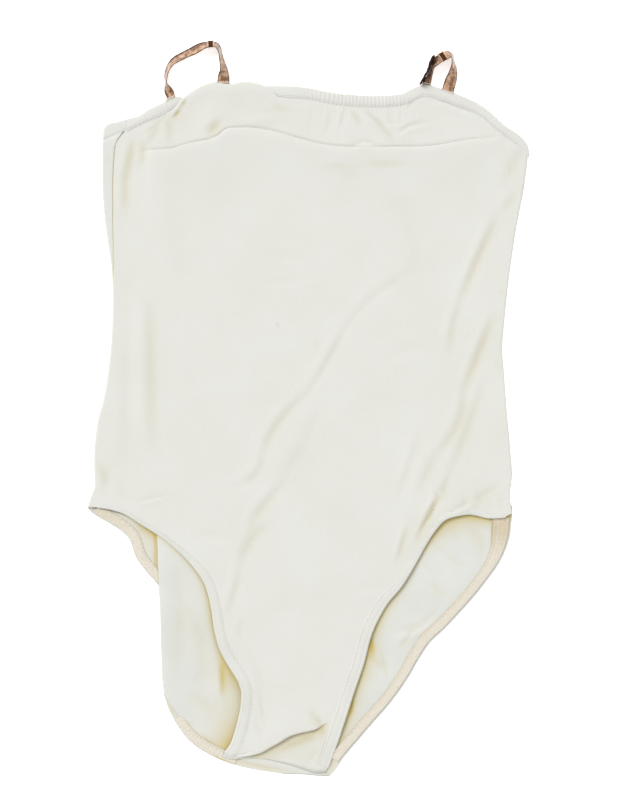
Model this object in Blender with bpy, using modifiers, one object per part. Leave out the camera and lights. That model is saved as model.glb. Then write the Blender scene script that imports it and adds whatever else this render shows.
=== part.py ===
"""Camisole leotard of cream stretch jersey, laid flat with its front up.

The garment is a flattened tube. X is to the right, Y is up the body and Z is up off the
surface, so the back panel lies on the surface and the front panel lies on the back panel.
Sizes are in millimetres here and become metres when a mesh is made.
"""
import math

import bpy
import bmesh
import numpy as np
from mathutils import Matrix, Vector

MM = 0.001
CENTRE_X = 0.5             # middle of the outline in the tables below, put at the origin
CENTRE_Y = 1.6

# Cloth and seams
WALL = 1.0                 # jersey wall
GAP = 0.3                  # between pieces that touch
ROLL = 1.5                 # radius of the wall's middle where the tube turns at a side
Z_BACK = WALL / 2
Z_FRONT = Z_BACK + 2 * ROLL
QUARTER = ROLL * math.pi / 2
SEAM_EASE = 0.4            # added to the gap where a seam curves between straight facets

# Neck casing: the strip turned over elastic along the neckline
CASING_WIDTH = 8.5
CASING_EXTRA = 0.4         # how far it stands above the panel
GATHER_DEPTH = 0.45
GATHER_PITCH = 3.2

# Leg elastic, on the inside of each leg edge
ELASTIC_WIDTH = 7.5
ELASTIC_THICK = 1.0
ELASTIC_INSET = 1.3        # cream edge left showing outside the elastic

# Hem of the front's leg edges, turned under
HEM_RISE = 0.35            # how far it stands above the panel
HEM_STEPS = 4              # columns of the front's grid that it covers at each edge
LEG_SHARES = (
    0.0, 0.035, 0.075, 0.12, 0.17, 0.225, 0.29, 0.36, 0.44, 0.53, 0.61, 0.69, 0.77, 0.845, 0.91, 0.96, 1.0,
)

# Shoulder straps: satin elastic ribbon
STRAP_WIDTH = 10.0
STRAP_THICK = 1.0

# Folds of the front
CHEST_STEP = 2.0           # rise at the fold across the chest
CHEST_RUN = 2.6            # distance in which it rises
CHEST_FADE = 30.0          # distance in which the rise dies away below

# Outline of the body of the garment: y, x
SIDE_LEFT = (
    (-92.0, -179.5), (-86.5, -186.0), (-85.0, -187.0), (-78.0, -185.5), (-64.5, -181.5),
    (-44.0, -182.0), (-17.0, -180.0), (10.0, -173.5), (44.0, -168.5), (71.5, -166.5),
    (92.0, -166.0), (112.0, -166.5), (139.5, -170.0), (166.5, -173.5), (194.0, -175.0),
    (219.5, -175.0), (237.0, -174.0), (246.0, -173.5),
)
SIDE_RIGHT = (
    (-92.0, 173.5), (-86.0, 173.5), (-78.0, 171.5), (-64.5, 172.5), (-58.0, 173.5),
    (-30.5, 171.5), (-3.5, 169.0), (30.5, 166.5), (51.0, 165.0), (64.5, 166.0),
    (112.0, 171.0), (153.0, 177.0), (187.0, 183.5), (207.5, 186.0), (222.5, 187.0),
    (240.0, 187.0),
)
# Leg edges of the back, the outline below the hips: y, x
BACK_LEG_LEFT = (
    (-311.0, -20.0), (-307.5, -44.0), (-302.5, -65.5), (-296.0, -81.0), (-289.0, -93.5),
    (-282.0, -102.0), (-268.5, -112.0), (-255.0, -119.0), (-241.5, -123.0), (-228.0, -124.5),
    (-197.0, -125.0), (-166.5, -126.0), (-153.0, -127.0), (-139.5, -137.5), (-126.0, -147.0),
    (-112.0, -152.0), (-105.5, -158.0), (-98.5, -168.5), (-92.0, -179.5), (-86.5, -186.0),
)
BACK_LEG_RIGHT = (
    (-311.0, 18.5), (-306.0, 24.0), (-296.0, 31.5), (-282.0, 43.5), (-268.5, 55.0),
    (-255.0, 67.0), (-241.5, 77.5), (-228.0, 86.5), (-214.0, 94.5), (-200.5, 103.5),
    (-187.0, 117.5), (-173.5, 130.0), (-160.0, 142.0), (-146.0, 153.0), (-132.5, 162.5),
    (-119.0, 169.0), (-105.5, 172.5), (-92.0, 173.5),
)
# Leg edges of the front, hip to crotch: x, y
FRONT_LEG_LEFT = (
    (-187.0, -84.0), (-177.0, -84.8), (-160.0, -87.5), (-138.5, -97.0), (-121.5, -108.0),
    (-109.0, -119.0), (-96.5, -134.0), (-88.5, -152.0), (-83.5, -171.5), (-80.0, -186.0),
    (-75.5, -201.5), (-70.0, -213.5), (-63.5, -224.0), (-57.8, -234.0), (-55.8, -243.0),
    (-56.2, -251.0), (-58.7, -265.0), (-61.6, -275.5), (-65.0, -285.0), (-69.5, -291.5),
    (-73.0, -295.4),
)
FRONT_LEG_RIGHT = (
    (173.5, -88.0), (165.0, -90.5), (154.5, -91.5), (137.5, -89.5), (125.0, -90.5),
    (116.5, -95.0), (108.0, -103.5), (99.5, -116.5), (91.0, -129.0), (78.0, -150.5),
    (65.5, -167.5), (54.5, -193.0), (46.0, -218.5), (37.5, -239.5), (30.0, -261.0),
    (23.5, -282.0), (15.5, -307.5),
)
# Top of the front panel, below its casing, or the fold that hides the casing: x, y
FRONT_TOP = (
    (-160.0, 231.5), (-154.0, 234.5), (-143.0, 240.5), (-130.0, 246.0), (-119.0, 251.0),
    (-113.0, 255.0), (-108.0, 261.0), (-102.0, 266.5), (-95.0, 271.0), (-85.0, 275.7),
    (-76.5, 277.0), (-69.5, 275.0), (-63.0, 275.5), (-54.5, 277.5), (-44.0, 276.0),
    (-36.5, 273.5), (-30.5, 268.5), (-24.5, 263.8), (-15.5, 263.2), (-2.5, 262.5),
    (17.0, 259.0), (30.5, 257.0), (58.0, 255.5), (78.0, 257.0), (92.0, 262.0), (98.5, 264.5),
    (112.0, 262.0), (132.5, 254.5), (146.0, 248.5), (160.0, 236.5), (173.5, 226.0),
    (180.0, 221.5), (187.0, 213.5),
)
# Rows of the front from its top edge to below the fold across the chest: share of the way to
# the fold, then the distance below it
TOP_ROWS = (
    (0.0, 0.0), (0.3, 0.0), (0.65, 0.0), (1.0, -2.5), (1.0, -0.2), (1.0, 1.2), (1.0, 2.8), (1.0, 6.0),
    (1.0, 14.0),
)
# Fold across the chest: x, y, how much of the full step it has
CHEST = (
    (-176.0, 203.0, 0.0), (-154.0, 210.0, 0.0), (-140.0, 217.0, 0.2), (-131.0, 218.5, 0.7),
    (-117.0, 219.5, 0.9), (-105.5, 222.5, 0.9), (-92.0, 225.5, 1.0), (-81.5, 228.0, 1.0),
    (-75.0, 231.5, 1.0), (-70.5, 235.5, 1.0), (-64.0, 237.0, 1.0), (-51.0, 237.0, 1.0),
    (-41.0, 236.5, 1.0), (-24.0, 233.0, 1.0), (-7.0, 228.0, 1.0), (10.0, 223.5, 1.0),
    (27.0, 221.0, 1.0), (51.0, 220.5, 1.0), (75.0, 221.0, 1.0), (95.0, 221.0, 0.95),
    (112.0, 223.0, 0.9), (129.0, 226.0, 0.8), (146.0, 228.0, 0.7), (157.0, 229.0, 0.5),
    (165.0, 226.0, 0.2), (172.0, 216.0, 0.0), (187.0, 200.0, 0.0),
)
# Top of the back, where its casing ends: x, y
BACK_TOP = (
    (-176.0, 235.5), (-160.0, 238.0), (-134.5, 246.0), (-104.5, 255.0), (-79.0, 260.0),
    (-41.0, 262.0), (-7.0, 261.0), (44.0, 256.0), (95.0, 258.0), (129.0, 252.5),
    (154.5, 241.0), (173.5, 228.5), (187.0, 221.0),
)
# The back's top edge where it turns up round the left side: height at the outline, and slope
BACK_EDGE_TOP = 235.8
BACK_EDGE_RISE = 0.46
LEVEL_TOP = 206.0          # first level row of the back
BACK_ROWS = (              # the level rows below it
    191.0, 176.0, 158.0, 139.0, 120.0, 100.0, 80.0, 60.0, 30.0, 3.0, -25.0, -50.0, -68.0, -80.0,
    -86.5, -94.0, -103.0, -114.0, -128.0, -142.0, -155.0, -172.0, -192.0, -215.0, -238.0,
    -256.0, -270.0, -282.0, -292.0, -300.0, -306.0, -311.0,
)
BACK_RIGHT_STEPS = np.array([16.0, 8.0, 2.4, 1.2, 0.0])
BACK_MIDDLE = 14           # columns across the middle of the back, with both ends
# The side seam on the left lies on top, this far in along the cloth: y, offset
SEAM_OFFSET = (
    (-100.0, 0.0), (70.0, 0.0), (92.0, 0.3), (110.0, 1.6), (150.0, 8.0), (190.0, 12.4),
    (206.0, 14.2), (222.0, 17.0), (236.0, 19.6), (250.0, 20.2),
)
# Soft folds of the front: x1, y1, x2, y2, height, half width
FRONT_FOLDS = (
    (31.0, 54.0, -15.0, 7.0, 0.9, 9.0),
    (-15.0, 7.0, -45.0, -61.0, 1.1, 9.0),
    (-45.0, -61.0, -66.0, -160.0, 0.9, 10.0),
    (150.0, 147.0, 121.0, 58.0, 1.0, 7.0),
    (155.0, 75.0, 125.0, -19.0, 1.1, 7.0),
    (125.0, -19.0, 88.0, -112.0, 1.3, 8.0),
    (171.0, -74.0, 126.0, -86.0, 0.8, 5.0),
    (-134.0, 210.0, -136.0, 60.0, 0.6, 6.0),
    (-176.0, -55.0, -160.0, -66.0, 0.6, 5.0),
    (47.0, 255.0, 76.0, 223.0, 0.7, 4.0),
    (-100.0, 258.0, -78.0, 272.0, 0.8, 5.0),
    (-62.0, -293.0, 12.0, -272.0, 1.2, 6.0),
)
# Soft folds of the back where it shows in the leg openings: same columns
BACK_FOLDS = (
    (124.0, -130.0, 138.0, -160.0, 0.9, 5.0),
    (84.0, -165.0, 110.0, -196.0, 0.8, 5.0),
    (64.0, -205.0, 76.0, -230.0, 0.8, 5.0),
    (-104.0, -160.0, -98.0, -230.0, 0.7, 9.0),
)
# Where the back's left leg edge is tucked under it rises off the surface: y, rise
LEG_TUCK = ((-265.0, 0.0), (-245.0, 1.0), (-215.0, 1.4), (-172.0, 1.4), (-156.0, 0.0), (-150.0, 0.0))
LEG_TUCK_FADE = 26.0

# Neck casing on the front: x and y of its lower edge, x and y of its upper edge, gather depth
CASING_LEFT = (
    (-153.4, 234.9, -153.4, 244.8, 0.2),
    (-143.0, 240.9, -146.5, 247.6, 0.5),
    (-130.0, 246.4, -134.5, 253.6, 0.6),
    (-119.3, 251.4, -122.5, 259.3, 0.4),
    (-114.0, 254.7, -113.5, 264.3, 0.2),
)
CASING_RIGHT = (
    (-23.8, 264.3, -34.0, 273.5, 0.0),
    (-15.5, 263.6, -20.0, 273.3, 0.1),
    (-2.5, 262.9, -5.0, 272.4, 0.3),
    (17.0, 259.4, 17.5, 268.2, 1.0),
    (30.5, 257.4, 31.0, 266.3, 1.0),
    (58.0, 255.9, 58.0, 264.9, 1.0),
    (78.0, 257.4, 77.0, 266.2, 1.0),
    (92.0, 262.4, 90.0, 271.6, 0.5),
    (98.5, 264.9, 98.5, 274.3, 0.1),
    (112.0, 262.4, 113.0, 271.0, 0.2),
    (132.5, 254.9, 136.0, 262.5, 0.3),
    (146.0, 248.9, 150.5, 254.5, 0.4),
    (160.0, 236.9, 166.5, 240.2, 0.4),
    (173.5, 226.4, 180.0, 231.0, 0.2),
    (178.5, 222.9, 184.7, 226.0, 0.0),
)

# Straps: x, y, height of the middle, width of the ribbon, tilt in degrees
STRAP_LEFT = (
    (-114.0, 251.0, 2.2, 7.0, 0.0),
    (-115.0, 256.0, 2.2, 7.0, 0.0),
    (-116.0, 261.5, 2.2, 7.0, 0.0),
    (-117.0, 266.2, 2.3, 7.4, 3.0),
    (-119.0, 270.4, 4.0, 9.0, 45.0),
    (-120.6, 275.5, 5.4, 10.0, 80.0),
    (-120.4, 282.0, 5.3, 10.0, 68.0),
    (-115.5, 293.0, 5.0, 10.0, 58.0),
    (-106.3, 298.8, 4.8, 10.0, 42.0),
    (-98.0, 302.8, 4.8, 10.0, 38.0),
    (-88.4, 307.4, 6.2, 10.0, 51.0),
    (-82.4, 308.6, 6.8, 10.0, 54.0),
    (-78.2, 308.2, 6.5, 10.0, 57.0),
    (-75.6, 304.8, 5.6, 10.0, 66.0),
    (-74.4, 301.0, 5.4, 10.0, 76.0),
    (-72.8, 294.0, 5.1, 10.0, 66.0),
    (-71.3, 286.0, 4.4, 10.0, 44.0),
    (-71.8, 279.5, 2.6, 10.0, 8.0),
    (-72.2, 273.0, 2.2, 10.0, 0.0),
    (-72.6, 265.5, 2.2, 10.0, 0.0),
)
STRAP_RIGHT = (
    (100.0, 265.0, 2.2, 6.6, 0.0),
    (100.4, 270.0, 2.2, 6.6, 0.0),
    (100.8, 275.6, 2.3, 6.6, 4.0),
    (103.0, 281.3, 4.4, 8.5, 58.0),
    (105.4, 288.4, 5.3, 10.0, 69.0),
    (109.4, 294.6, 5.4, 10.0, 44.0),
    (114.4, 298.0, 6.1, 10.0, 40.0),
    (118.4, 299.6, 6.0, 10.0, 42.0),
    (121.4, 299.4, 5.6, 10.0, 66.0),
    (122.7, 296.5, 5.5, 10.0, 80.0),
    (123.6, 289.0, 4.8, 10.0, 56.0),
    (122.8, 283.0, 4.0, 10.0, 36.0),
    (121.0, 277.5, 2.7, 10.0, 12.0),
    (119.0, 270.5, 2.2, 10.0, 0.0),
    (117.4, 263.0, 2.2, 10.0, 0.0),
)
# The doubled layer of the right strap, standing on its edge outside the first
STRAP_RETURN = (
    (94.9, 274.4, 4.6, 8.0, 80.0),
    (96.6, 277.0, 5.3, 10.0, 80.0),
    (99.2, 281.7, 5.4, 10.0, 80.0),
    (102.3, 287.6, 5.4, 10.0, 80.0),
    (104.0, 293.2, 5.4, 10.0, 78.0),
    (106.9, 299.3, 5.4, 10.0, 78.0),
)
# Sliders: strap row at which each sits
SLIDER_LEFT_AT = 11
SLIDER_RIGHT_AT = 6
SLIDER_ALONG = 4.4
SLIDER_RIM = 1.1
SLIDER_EDGE = 0.3

CREAM = (0.797, 0.807, 0.753, 1.0)
CREAM_DEEP = (0.760, 0.770, 0.712, 1.0)
BEIGE = (0.730, 0.692, 0.600, 1.0)
TAN = (0.434, 0.235, 0.138, 1.0)
BRONZE = (0.520, 0.330, 0.200, 1.0)


def hermite(knots, values, at):
    """Smooth values at the places given: a cubic through the knots, flat where they turn."""
    knots = np.asarray(knots, float)
    values = np.asarray(values, float)
    at = np.clip(np.asarray(at, float), knots[0], knots[-1])
    step = np.diff(knots)
    chord = np.diff(values) / step
    slope = np.zeros_like(values)
    before = chord[:-1]
    after = chord[1:]
    same = before * after > 0
    weight = np.where(same, before + after, 1.0)
    slope[1:-1] = np.where(same, 2 * before * after / weight, 0.0)
    slope[0] = chord[0]
    slope[-1] = chord[-1]
    i = np.clip(np.searchsorted(knots, at, side="right") - 1, 0, len(knots) - 2)
    h = step[i]
    t = (at - knots[i]) / h
    return (
        values[i] * (1 + 2 * t) * (1 - t) ** 2
        + slope[i] * h * t * (1 - t) ** 2
        + values[i + 1] * t * t * (3 - 2 * t)
        + slope[i + 1] * h * t * t * (t - 1)
    )


def column(table, at, value=1):
    """The value column of a table, read smoothly at the places given in its first column."""
    rows = np.asarray(table, float)
    return hermite(rows[:, 0], rows[:, value], at)


def along(table, share):
    """Every column of a table of points, read at shares of the path's length."""
    rows = np.asarray(table, float)
    length = np.hypot(np.diff(rows[:, 0]), np.diff(rows[:, 1]))
    place = np.concatenate(([0.0], np.cumsum(length)))
    return np.stack([hermite(place / place[-1], rows[:, k], share) for k in range(rows.shape[1])], -1)


def smooth(t):
    """0 below 0, 1 above 1, eased between."""
    t = np.clip(t, 0.0, 1.0)
    return t * t * (3 - 2 * t)


def folds(table, x, y):
    """Sum of soft ridges, each along a straight line and fading past its ends."""
    height = np.zeros_like(x)
    for x1, y1, x2, y2, rise, width in table:
        along_x = x2 - x1
        along_y = y2 - y1
        length = math.hypot(along_x, along_y)
        s = ((x - x1) * along_x + (y - y1) * along_y) / length
        across = ((x - x1) * along_y - (y - y1) * along_x) / length
        beyond = np.maximum(np.maximum(-s, s - length), 0.0)
        height += rise * np.exp(-((across / width) ** 2) - (beyond / (1.6 * width)) ** 2)
    return height


def front_height(x, y):
    """Height of the front's folds above the flat: the step across the chest and soft ridges."""
    line = column(CHEST, x)
    below = line - y
    step = CHEST_STEP * column(CHEST, x, 2) * smooth(below / CHEST_RUN)
    step = step * np.exp(-((np.maximum(below - CHEST_RUN, 0.0) / CHEST_FADE) ** 1.3))
    return step + folds(FRONT_FOLDS, x, y)


def back_height(x, y, left, right):
    """Height of the back's folds off the surface, where the leg openings show them.

    They fade out before the right edge, where the elastic holds the cloth flat.
    """
    inside = x - left
    tuck = column(LEG_TUCK, y) * smooth(inside / 1.8 + 0.15) * np.exp(-(inside / LEG_TUCK_FADE) ** 2)
    return tuck + folds(BACK_FOLDS, x, y) * smooth((right - x - ELASTIC_WIDTH - 4.0) / 12.0)


def turn(edge_x, side, start, p):
    """x and z of the wall's middle at arc length p round a side of the tube.

    p is 0 at the outermost point, positive towards the front panel and negative towards the
    back panel. start is the angle at which the piece begins, so that an edge that has already
    left the roll still meets the outline.
    """
    centre = WALL / 2 + ROLL * np.cos(start)
    angle = np.clip(p / ROLL, -math.pi / 2, math.pi / 2)
    inward = centre - ROLL * np.cos(angle) + np.maximum(np.abs(p) - QUARTER, 0.0)
    return edge_x + side * inward, Z_BACK + ROLL + ROLL * np.sin(angle)


def wall_mesh(name, middle, outer, inner, material, group, edge_order=1):
    """A closed wall from a grid of points on its middle: both faces and the rim round them.

    Rows run down the garment and columns to the right, so the normal points up off the surface.
    edge_order 2 keeps the rim square to a curved edge whose first columns are evenly spaced.
    """
    rows, cols = middle.shape[:2]
    down = np.gradient(middle, axis=0)
    across = np.gradient(middle, axis=1, edge_order=edge_order)
    normal = np.cross(down, across)
    normal /= np.linalg.norm(normal, axis=-1, keepdims=True)
    top = middle + normal * np.broadcast_to(outer, (rows, cols))[..., None]
    low = middle - normal * np.broadcast_to(inner, (rows, cols))[..., None]
    points = np.concatenate((top.reshape(-1, 3), low.reshape(-1, 3)))
    points[:, 0] -= CENTRE_X
    points[:, 1] -= CENTRE_Y
    index = np.arange(rows * cols).reshape(rows, cols)
    a, b, c, d = index[:-1, :-1], index[1:, :-1], index[1:, 1:], index[:-1, 1:]
    faces = [np.stack((a, b, c, d), -1).reshape(-1, 4)]
    faces.append(np.stack((a, d, c, b), -1).reshape(-1, 4) + rows * cols)
    rim = np.concatenate((index[0, :-1], index[:-1, -1], index[-1, :0:-1], index[:0:-1, 0]))
    rim_under = rim + rows * cols
    ahead = np.roll(rim, -1)
    ahead_under = np.roll(rim_under, -1)
    faces.append(np.stack((rim, ahead, ahead_under, rim_under), -1))
    mesh = bpy.data.meshes.new(name)
    mesh.from_pydata((points * MM).tolist(), [], np.concatenate(faces).tolist())
    mesh.validate()
    mesh.update()
    mesh.shade_smooth()
    mesh.set_sharp_from_angle(angle=math.radians(50))
    obj = bpy.data.objects.new(name, mesh)
    obj.data.materials.append(material)
    group.objects.link(obj)
    return obj


def plain_material(name, colour, rough, metal=0.0):
    """A Principled material."""
    material = bpy.data.materials.new(name)
    material.use_nodes = True
    shader = material.node_tree.nodes["Principled BSDF"]
    shader.inputs["Base Color"].default_value = colour
    shader.inputs["Roughness"].default_value = rough
    shader.inputs["Metallic"].default_value = metal
    return material


def front_grid():
    """Front: points from under the neck casing to the crotch, seam to seam, with both leg edges."""
    steps = np.array([0.0, 1.1, 2.2, 4.0, 9.0])
    middle_share = np.linspace(0.0, 1.0, 22)[1:-1]
    grid = []

    def add_row(left, right, height_of, bow, free):
        """One row of the panel; free is 0 at a seam and 1 at a cut leg edge."""
        start = math.pi / 2 * free
        seam = float(column(SEAM_OFFSET, left[1])) * (1 - free)
        clear = GAP / 2 + SEAM_EASE * min(1.0, seam)
        lx, lz = turn(left[0], 1, start, max(seam + clear, QUARTER * free) + steps)
        rx, rz = turn(right[0], -1, start, max(GAP / 2, QUARTER * free) + steps[::-1])
        mx = lx[-1] + (rx[0] - lx[-1]) * middle_share
        x = np.concatenate((lx, mx, rx))
        z = np.concatenate((lz, np.full(len(mx), Z_FRONT), rz))
        share = (x - left[0]) / (right[0] - left[0])
        if height_of is None:
            y = left[1] + (right[1] - left[1]) * share + bow * np.sin(math.pi * share)
        else:
            y = height_of(x)
        flat = (z - Z_BACK) / (2 * ROLL)
        z = z + front_height(x, y) * smooth(flat * 2 - 1)
        grid.append(np.stack((x, y, z), -1))

    def upper(x, t, drop):
        """y of an upper row: between the neckline and the chest fold, or below the fold."""
        return column(FRONT_TOP, x) * (1 - t) + (column(CHEST, x) - drop) * t

    for t, drop in TOP_ROWS:
        side = 230.0
        for _ in range(8):
            seam_x, _ = turn(column(SIDE_LEFT, side), 1, 0.0, column(SEAM_OFFSET, side) + GAP / 2)
            side = float(upper(seam_x, t, drop))
        right_side = float(upper(np.array(184.0), t, drop))
        left = (float(column(SIDE_LEFT, side)), side)
        right = (float(column(SIDE_RIGHT, right_side)), right_side)
        add_row(left, right, lambda x, t=t, drop=drop: upper(x, t, drop), 0, 0.0)
    for y in (176.0, 158.0, 139.0, 120.0, 100.0, 80.0, 60.0, 40.0, 20.0, 3.0):
        left = (float(column(SIDE_LEFT, y)), y)
        right = (float(column(SIDE_RIGHT, y)), y)
        add_row(left, right, None, 0, 0.0)
    for y, bow, free in ((-15, 3, 0), (-34, 8, 0), (-52, 14, 0), (-67, 20, 0), (-78, 22, 0.35)):
        left = (float(column(SIDE_LEFT, y)), y)
        right = (float(column(SIDE_RIGHT, y)), y)
        add_row(left, right, None, bow, free)
    for share in LEG_SHARES:
        left = along(FRONT_LEG_LEFT, share)
        right = along(FRONT_LEG_RIGHT, share)
        bow = 24.0 * max(0.0, 1 - share / 0.45) ** 2
        add_row(left, right, None, bow, min(1.0, 0.7 + share * 10))
    grid = np.array(grid)
    # The last rows come down to the back, but stay over the elastic's end in the left corner
    over_elastic = ELASTIC_THICK * smooth((-52.0 - grid[-2:, :, 0]) / 9.0) * 1.4
    seat = Z_BACK + WALL + GAP + over_elastic
    grid[-2, :, 2] = seat[0] + (grid[-2, :, 2] - seat[0]) * 0.75
    grid[-1, :, 2] = seat[1]
    return grid


def back_arc(y, rise=0.0):
    """Arc lengths of the back's columns on the left side, seam end first.

    The row is at height y on the outline and climbs by rise for each unit up to the seam.
    """
    free = float(smooth((-84.0 - y) / 14.0))
    seam = 0.0
    for _ in range(8):
        seam = float(column(SEAM_OFFSET, y + rise * max(seam, 0.0))) - GAP / 2
    first = seam * (1 - free) - QUARTER * free
    wanted = np.array([99.0, 99.0, 3.0, 1.5, 0.0, -1.5, -3.0, -8.0, -16.0])
    p = np.minimum(wanted, first - 0.55 * np.arange(len(wanted)))
    p[1] = (p[0] + p[2]) / 2
    return p, free


def back_top_row(down, level_share=0.0):
    """One row of the back near its top edge, down below it; level_share blends it to LEVEL_TOP."""
    left_y = (BACK_EDGE_TOP - down) * (1 - level_share) + LEVEL_TOP * level_share
    right_y = (float(column(BACK_TOP, 186.0)) - down) * (1 - level_share) + LEVEL_TOP * level_share
    p, _ = back_arc(left_y, BACK_EDGE_RISE * (1 - level_share))
    lx, lz = turn(float(column(SIDE_LEFT, left_y)), 1, 0.0, p)
    rx, rz = turn(float(column(SIDE_RIGHT, right_y)), -1, 0.0, -GAP / 2 - BACK_RIGHT_STEPS)
    mx = lx[-1] + (rx[0] - lx[-1]) * np.linspace(0.0, 1.0, BACK_MIDDLE)[1:-1]
    x = np.concatenate((lx, mx, rx))
    z = np.concatenate((lz, np.full(len(mx), Z_BACK), rz))
    top = column(BACK_TOP, x)
    over = p > 0
    top[:len(p)][over] = BACK_EDGE_TOP + BACK_EDGE_RISE * p[over]
    y = (top - down) * (1 - level_share) + LEVEL_TOP * level_share
    return np.stack((x, y, z), -1)


def back_grid():
    """Back: points that lie on the surface and turn up round the left side to the seam on top."""
    grid = [back_top_row(CASING_WIDTH + GAP, t) for t in (0.0, 0.5, 1.0)]
    for level in BACK_ROWS:
        p, free = back_arc(level)
        free_right = float(smooth((-80.0 - level) / 14.0))
        edge_left = float(column(SIDE_LEFT if level > -86.5 else BACK_LEG_LEFT, level))
        edge_right = float(column(SIDE_RIGHT if level > -92.0 else BACK_LEG_RIGHT, level))
        lx, lz = turn(edge_left, 1, math.pi / 2 * free, p)
        rx, rz = turn(edge_right, -1, math.pi / 2 * free_right,
                      -max(GAP / 2, QUARTER * free_right) - BACK_RIGHT_STEPS)
        mx = lx[-1] + (rx[0] - lx[-1]) * np.linspace(0.0, 1.0, BACK_MIDDLE)[1:-1]
        x = np.concatenate((lx, mx, rx))
        z = np.concatenate((lz, np.full(len(mx), Z_BACK), rz))
        y = np.full(len(x), level)
        if level < -100.0:
            z = z + back_height(x, y, edge_left, edge_right)
        grid.append(np.stack((x, y, z), -1))
    return np.array(grid)


def casing_front(name, table, edge, material, group):
    """Neck casing on the front: a strip with a rounded top edge, its outer face gathered.

    Its lower edge follows the panel's own top edge, one gap above it.
    """
    rows = np.asarray(table, float)
    length = np.hypot(np.diff(rows[:, 0]), np.diff(rows[:, 1]))
    place = np.concatenate(([0.0], np.cumsum(length)))
    pitch = []
    for k, stretch in enumerate(length):
        gathered = rows[k, 4] + rows[k + 1, 4] > 1.2
        count = max(1, round(stretch / (GATHER_PITCH / 4 if gathered else 5.0)))
        pitch.append(place[k] + stretch * np.arange(count) / count)
    rows = along(table, np.concatenate(pitch + [[place[-1]]]) / place[-1])
    rows[:, 1] = np.interp(rows[:, 0], edge[:, 0], edge[:, 1]) + GAP + SEAM_EASE
    across = np.array([0.0, 0.4, 0.8, 1.0])
    low = rows[:, None, 0:2]
    high = rows[:, None, 2:4]
    xy = low + (high - low) * across[None, :, None]
    middle = np.concatenate((xy, np.full(xy.shape[:2] + (1,), Z_FRONT)), -1)
    run = np.concatenate(([0.0], np.cumsum(np.hypot(*np.diff(rows[:, 0:2], axis=0).T))))
    wave = 0.5 - 0.5 * np.cos(2 * math.pi * run / GATHER_PITCH)
    crown = np.array([0.0, 1.0, 0.9, 0.1])
    depth = np.array([0.7, 0.6, 1.0, 0.6])
    outer = WALL / 2 + CASING_EXTRA * crown[None, :]
    outer = outer + GATHER_DEPTH * rows[:, 4][:, None] * wave[:, None] * depth[None, :]
    return wall_mesh(name, middle, outer, WALL / 2, material, group)


def casing_back(material, group):
    """Neck casing of the back: flat on the surface, turned up round the left side to the seam."""
    share = np.array([0.0, 0.4, 0.8, 1.0])
    middle = np.array([back_top_row(CASING_WIDTH * t) for t in share])
    lift = np.clip((middle[:, :, 2] - Z_BACK) / (2 * ROLL), 0.0, 1.0)
    crown = np.array([0.2, 1.0, 1.0, 0.3])[:, None]
    upper_face = WALL / 2 + CASING_EXTRA * crown * (1 - lift)
    lower_face = WALL / 2 + CASING_EXTRA * crown * lift
    return wall_mesh("neck_casing_back", middle, upper_face, lower_face, material, group, 2)


def elastic(name, table, first, last, count, side, material, group):
    """Leg elastic: a flat strip on the back's inside, between two shares of the leg edge."""
    share = np.linspace(first, last, count)
    edge = along(table, share)[:, :2]
    ahead = np.gradient(edge, axis=0)
    ahead /= np.linalg.norm(ahead, axis=1, keepdims=True)
    inward = np.stack((ahead[:, 1], -ahead[:, 0]), -1) * side
    across = ELASTIC_INSET + ELASTIC_WIDTH * np.array([0.0, 0.5, 1.0])
    xy = edge[:, None, :] + inward[:, None, :] * across[None, :, None]
    level = Z_BACK + WALL / 2 + GAP + ELASTIC_THICK / 2
    middle = np.concatenate((xy, np.full(xy.shape[:2] + (1,), level)), -1)
    if side < 0:
        middle = middle[:, ::-1]
    return wall_mesh(name, middle, ELASTIC_THICK / 2, ELASTIC_THICK / 2, material, group)


def strap(name, table, count, material, group):
    """Ribbon along its path, turned about it by each row's tilt."""
    rows = along(table, np.linspace(0.0, 1.0, count))
    centre = rows[:, :3]
    ahead = np.gradient(centre[:, :2], axis=0)
    ahead /= np.linalg.norm(ahead, axis=1, keepdims=True)
    tilt = np.radians(rows[:, 4])
    beside = np.stack((-ahead[:, 1] * np.cos(tilt), ahead[:, 0] * np.cos(tilt), -np.sin(tilt)), -1)
    across = np.array([-0.5, 0.0, 0.5])[None, :, None] * rows[:, 3][:, None, None]
    middle = centre[:, None, :] + beside[:, None, :] * across
    middle = middle[:, ::-1]
    return wall_mesh(name, middle, STRAP_THICK / 2, STRAP_THICK / 2, material, group)


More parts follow.
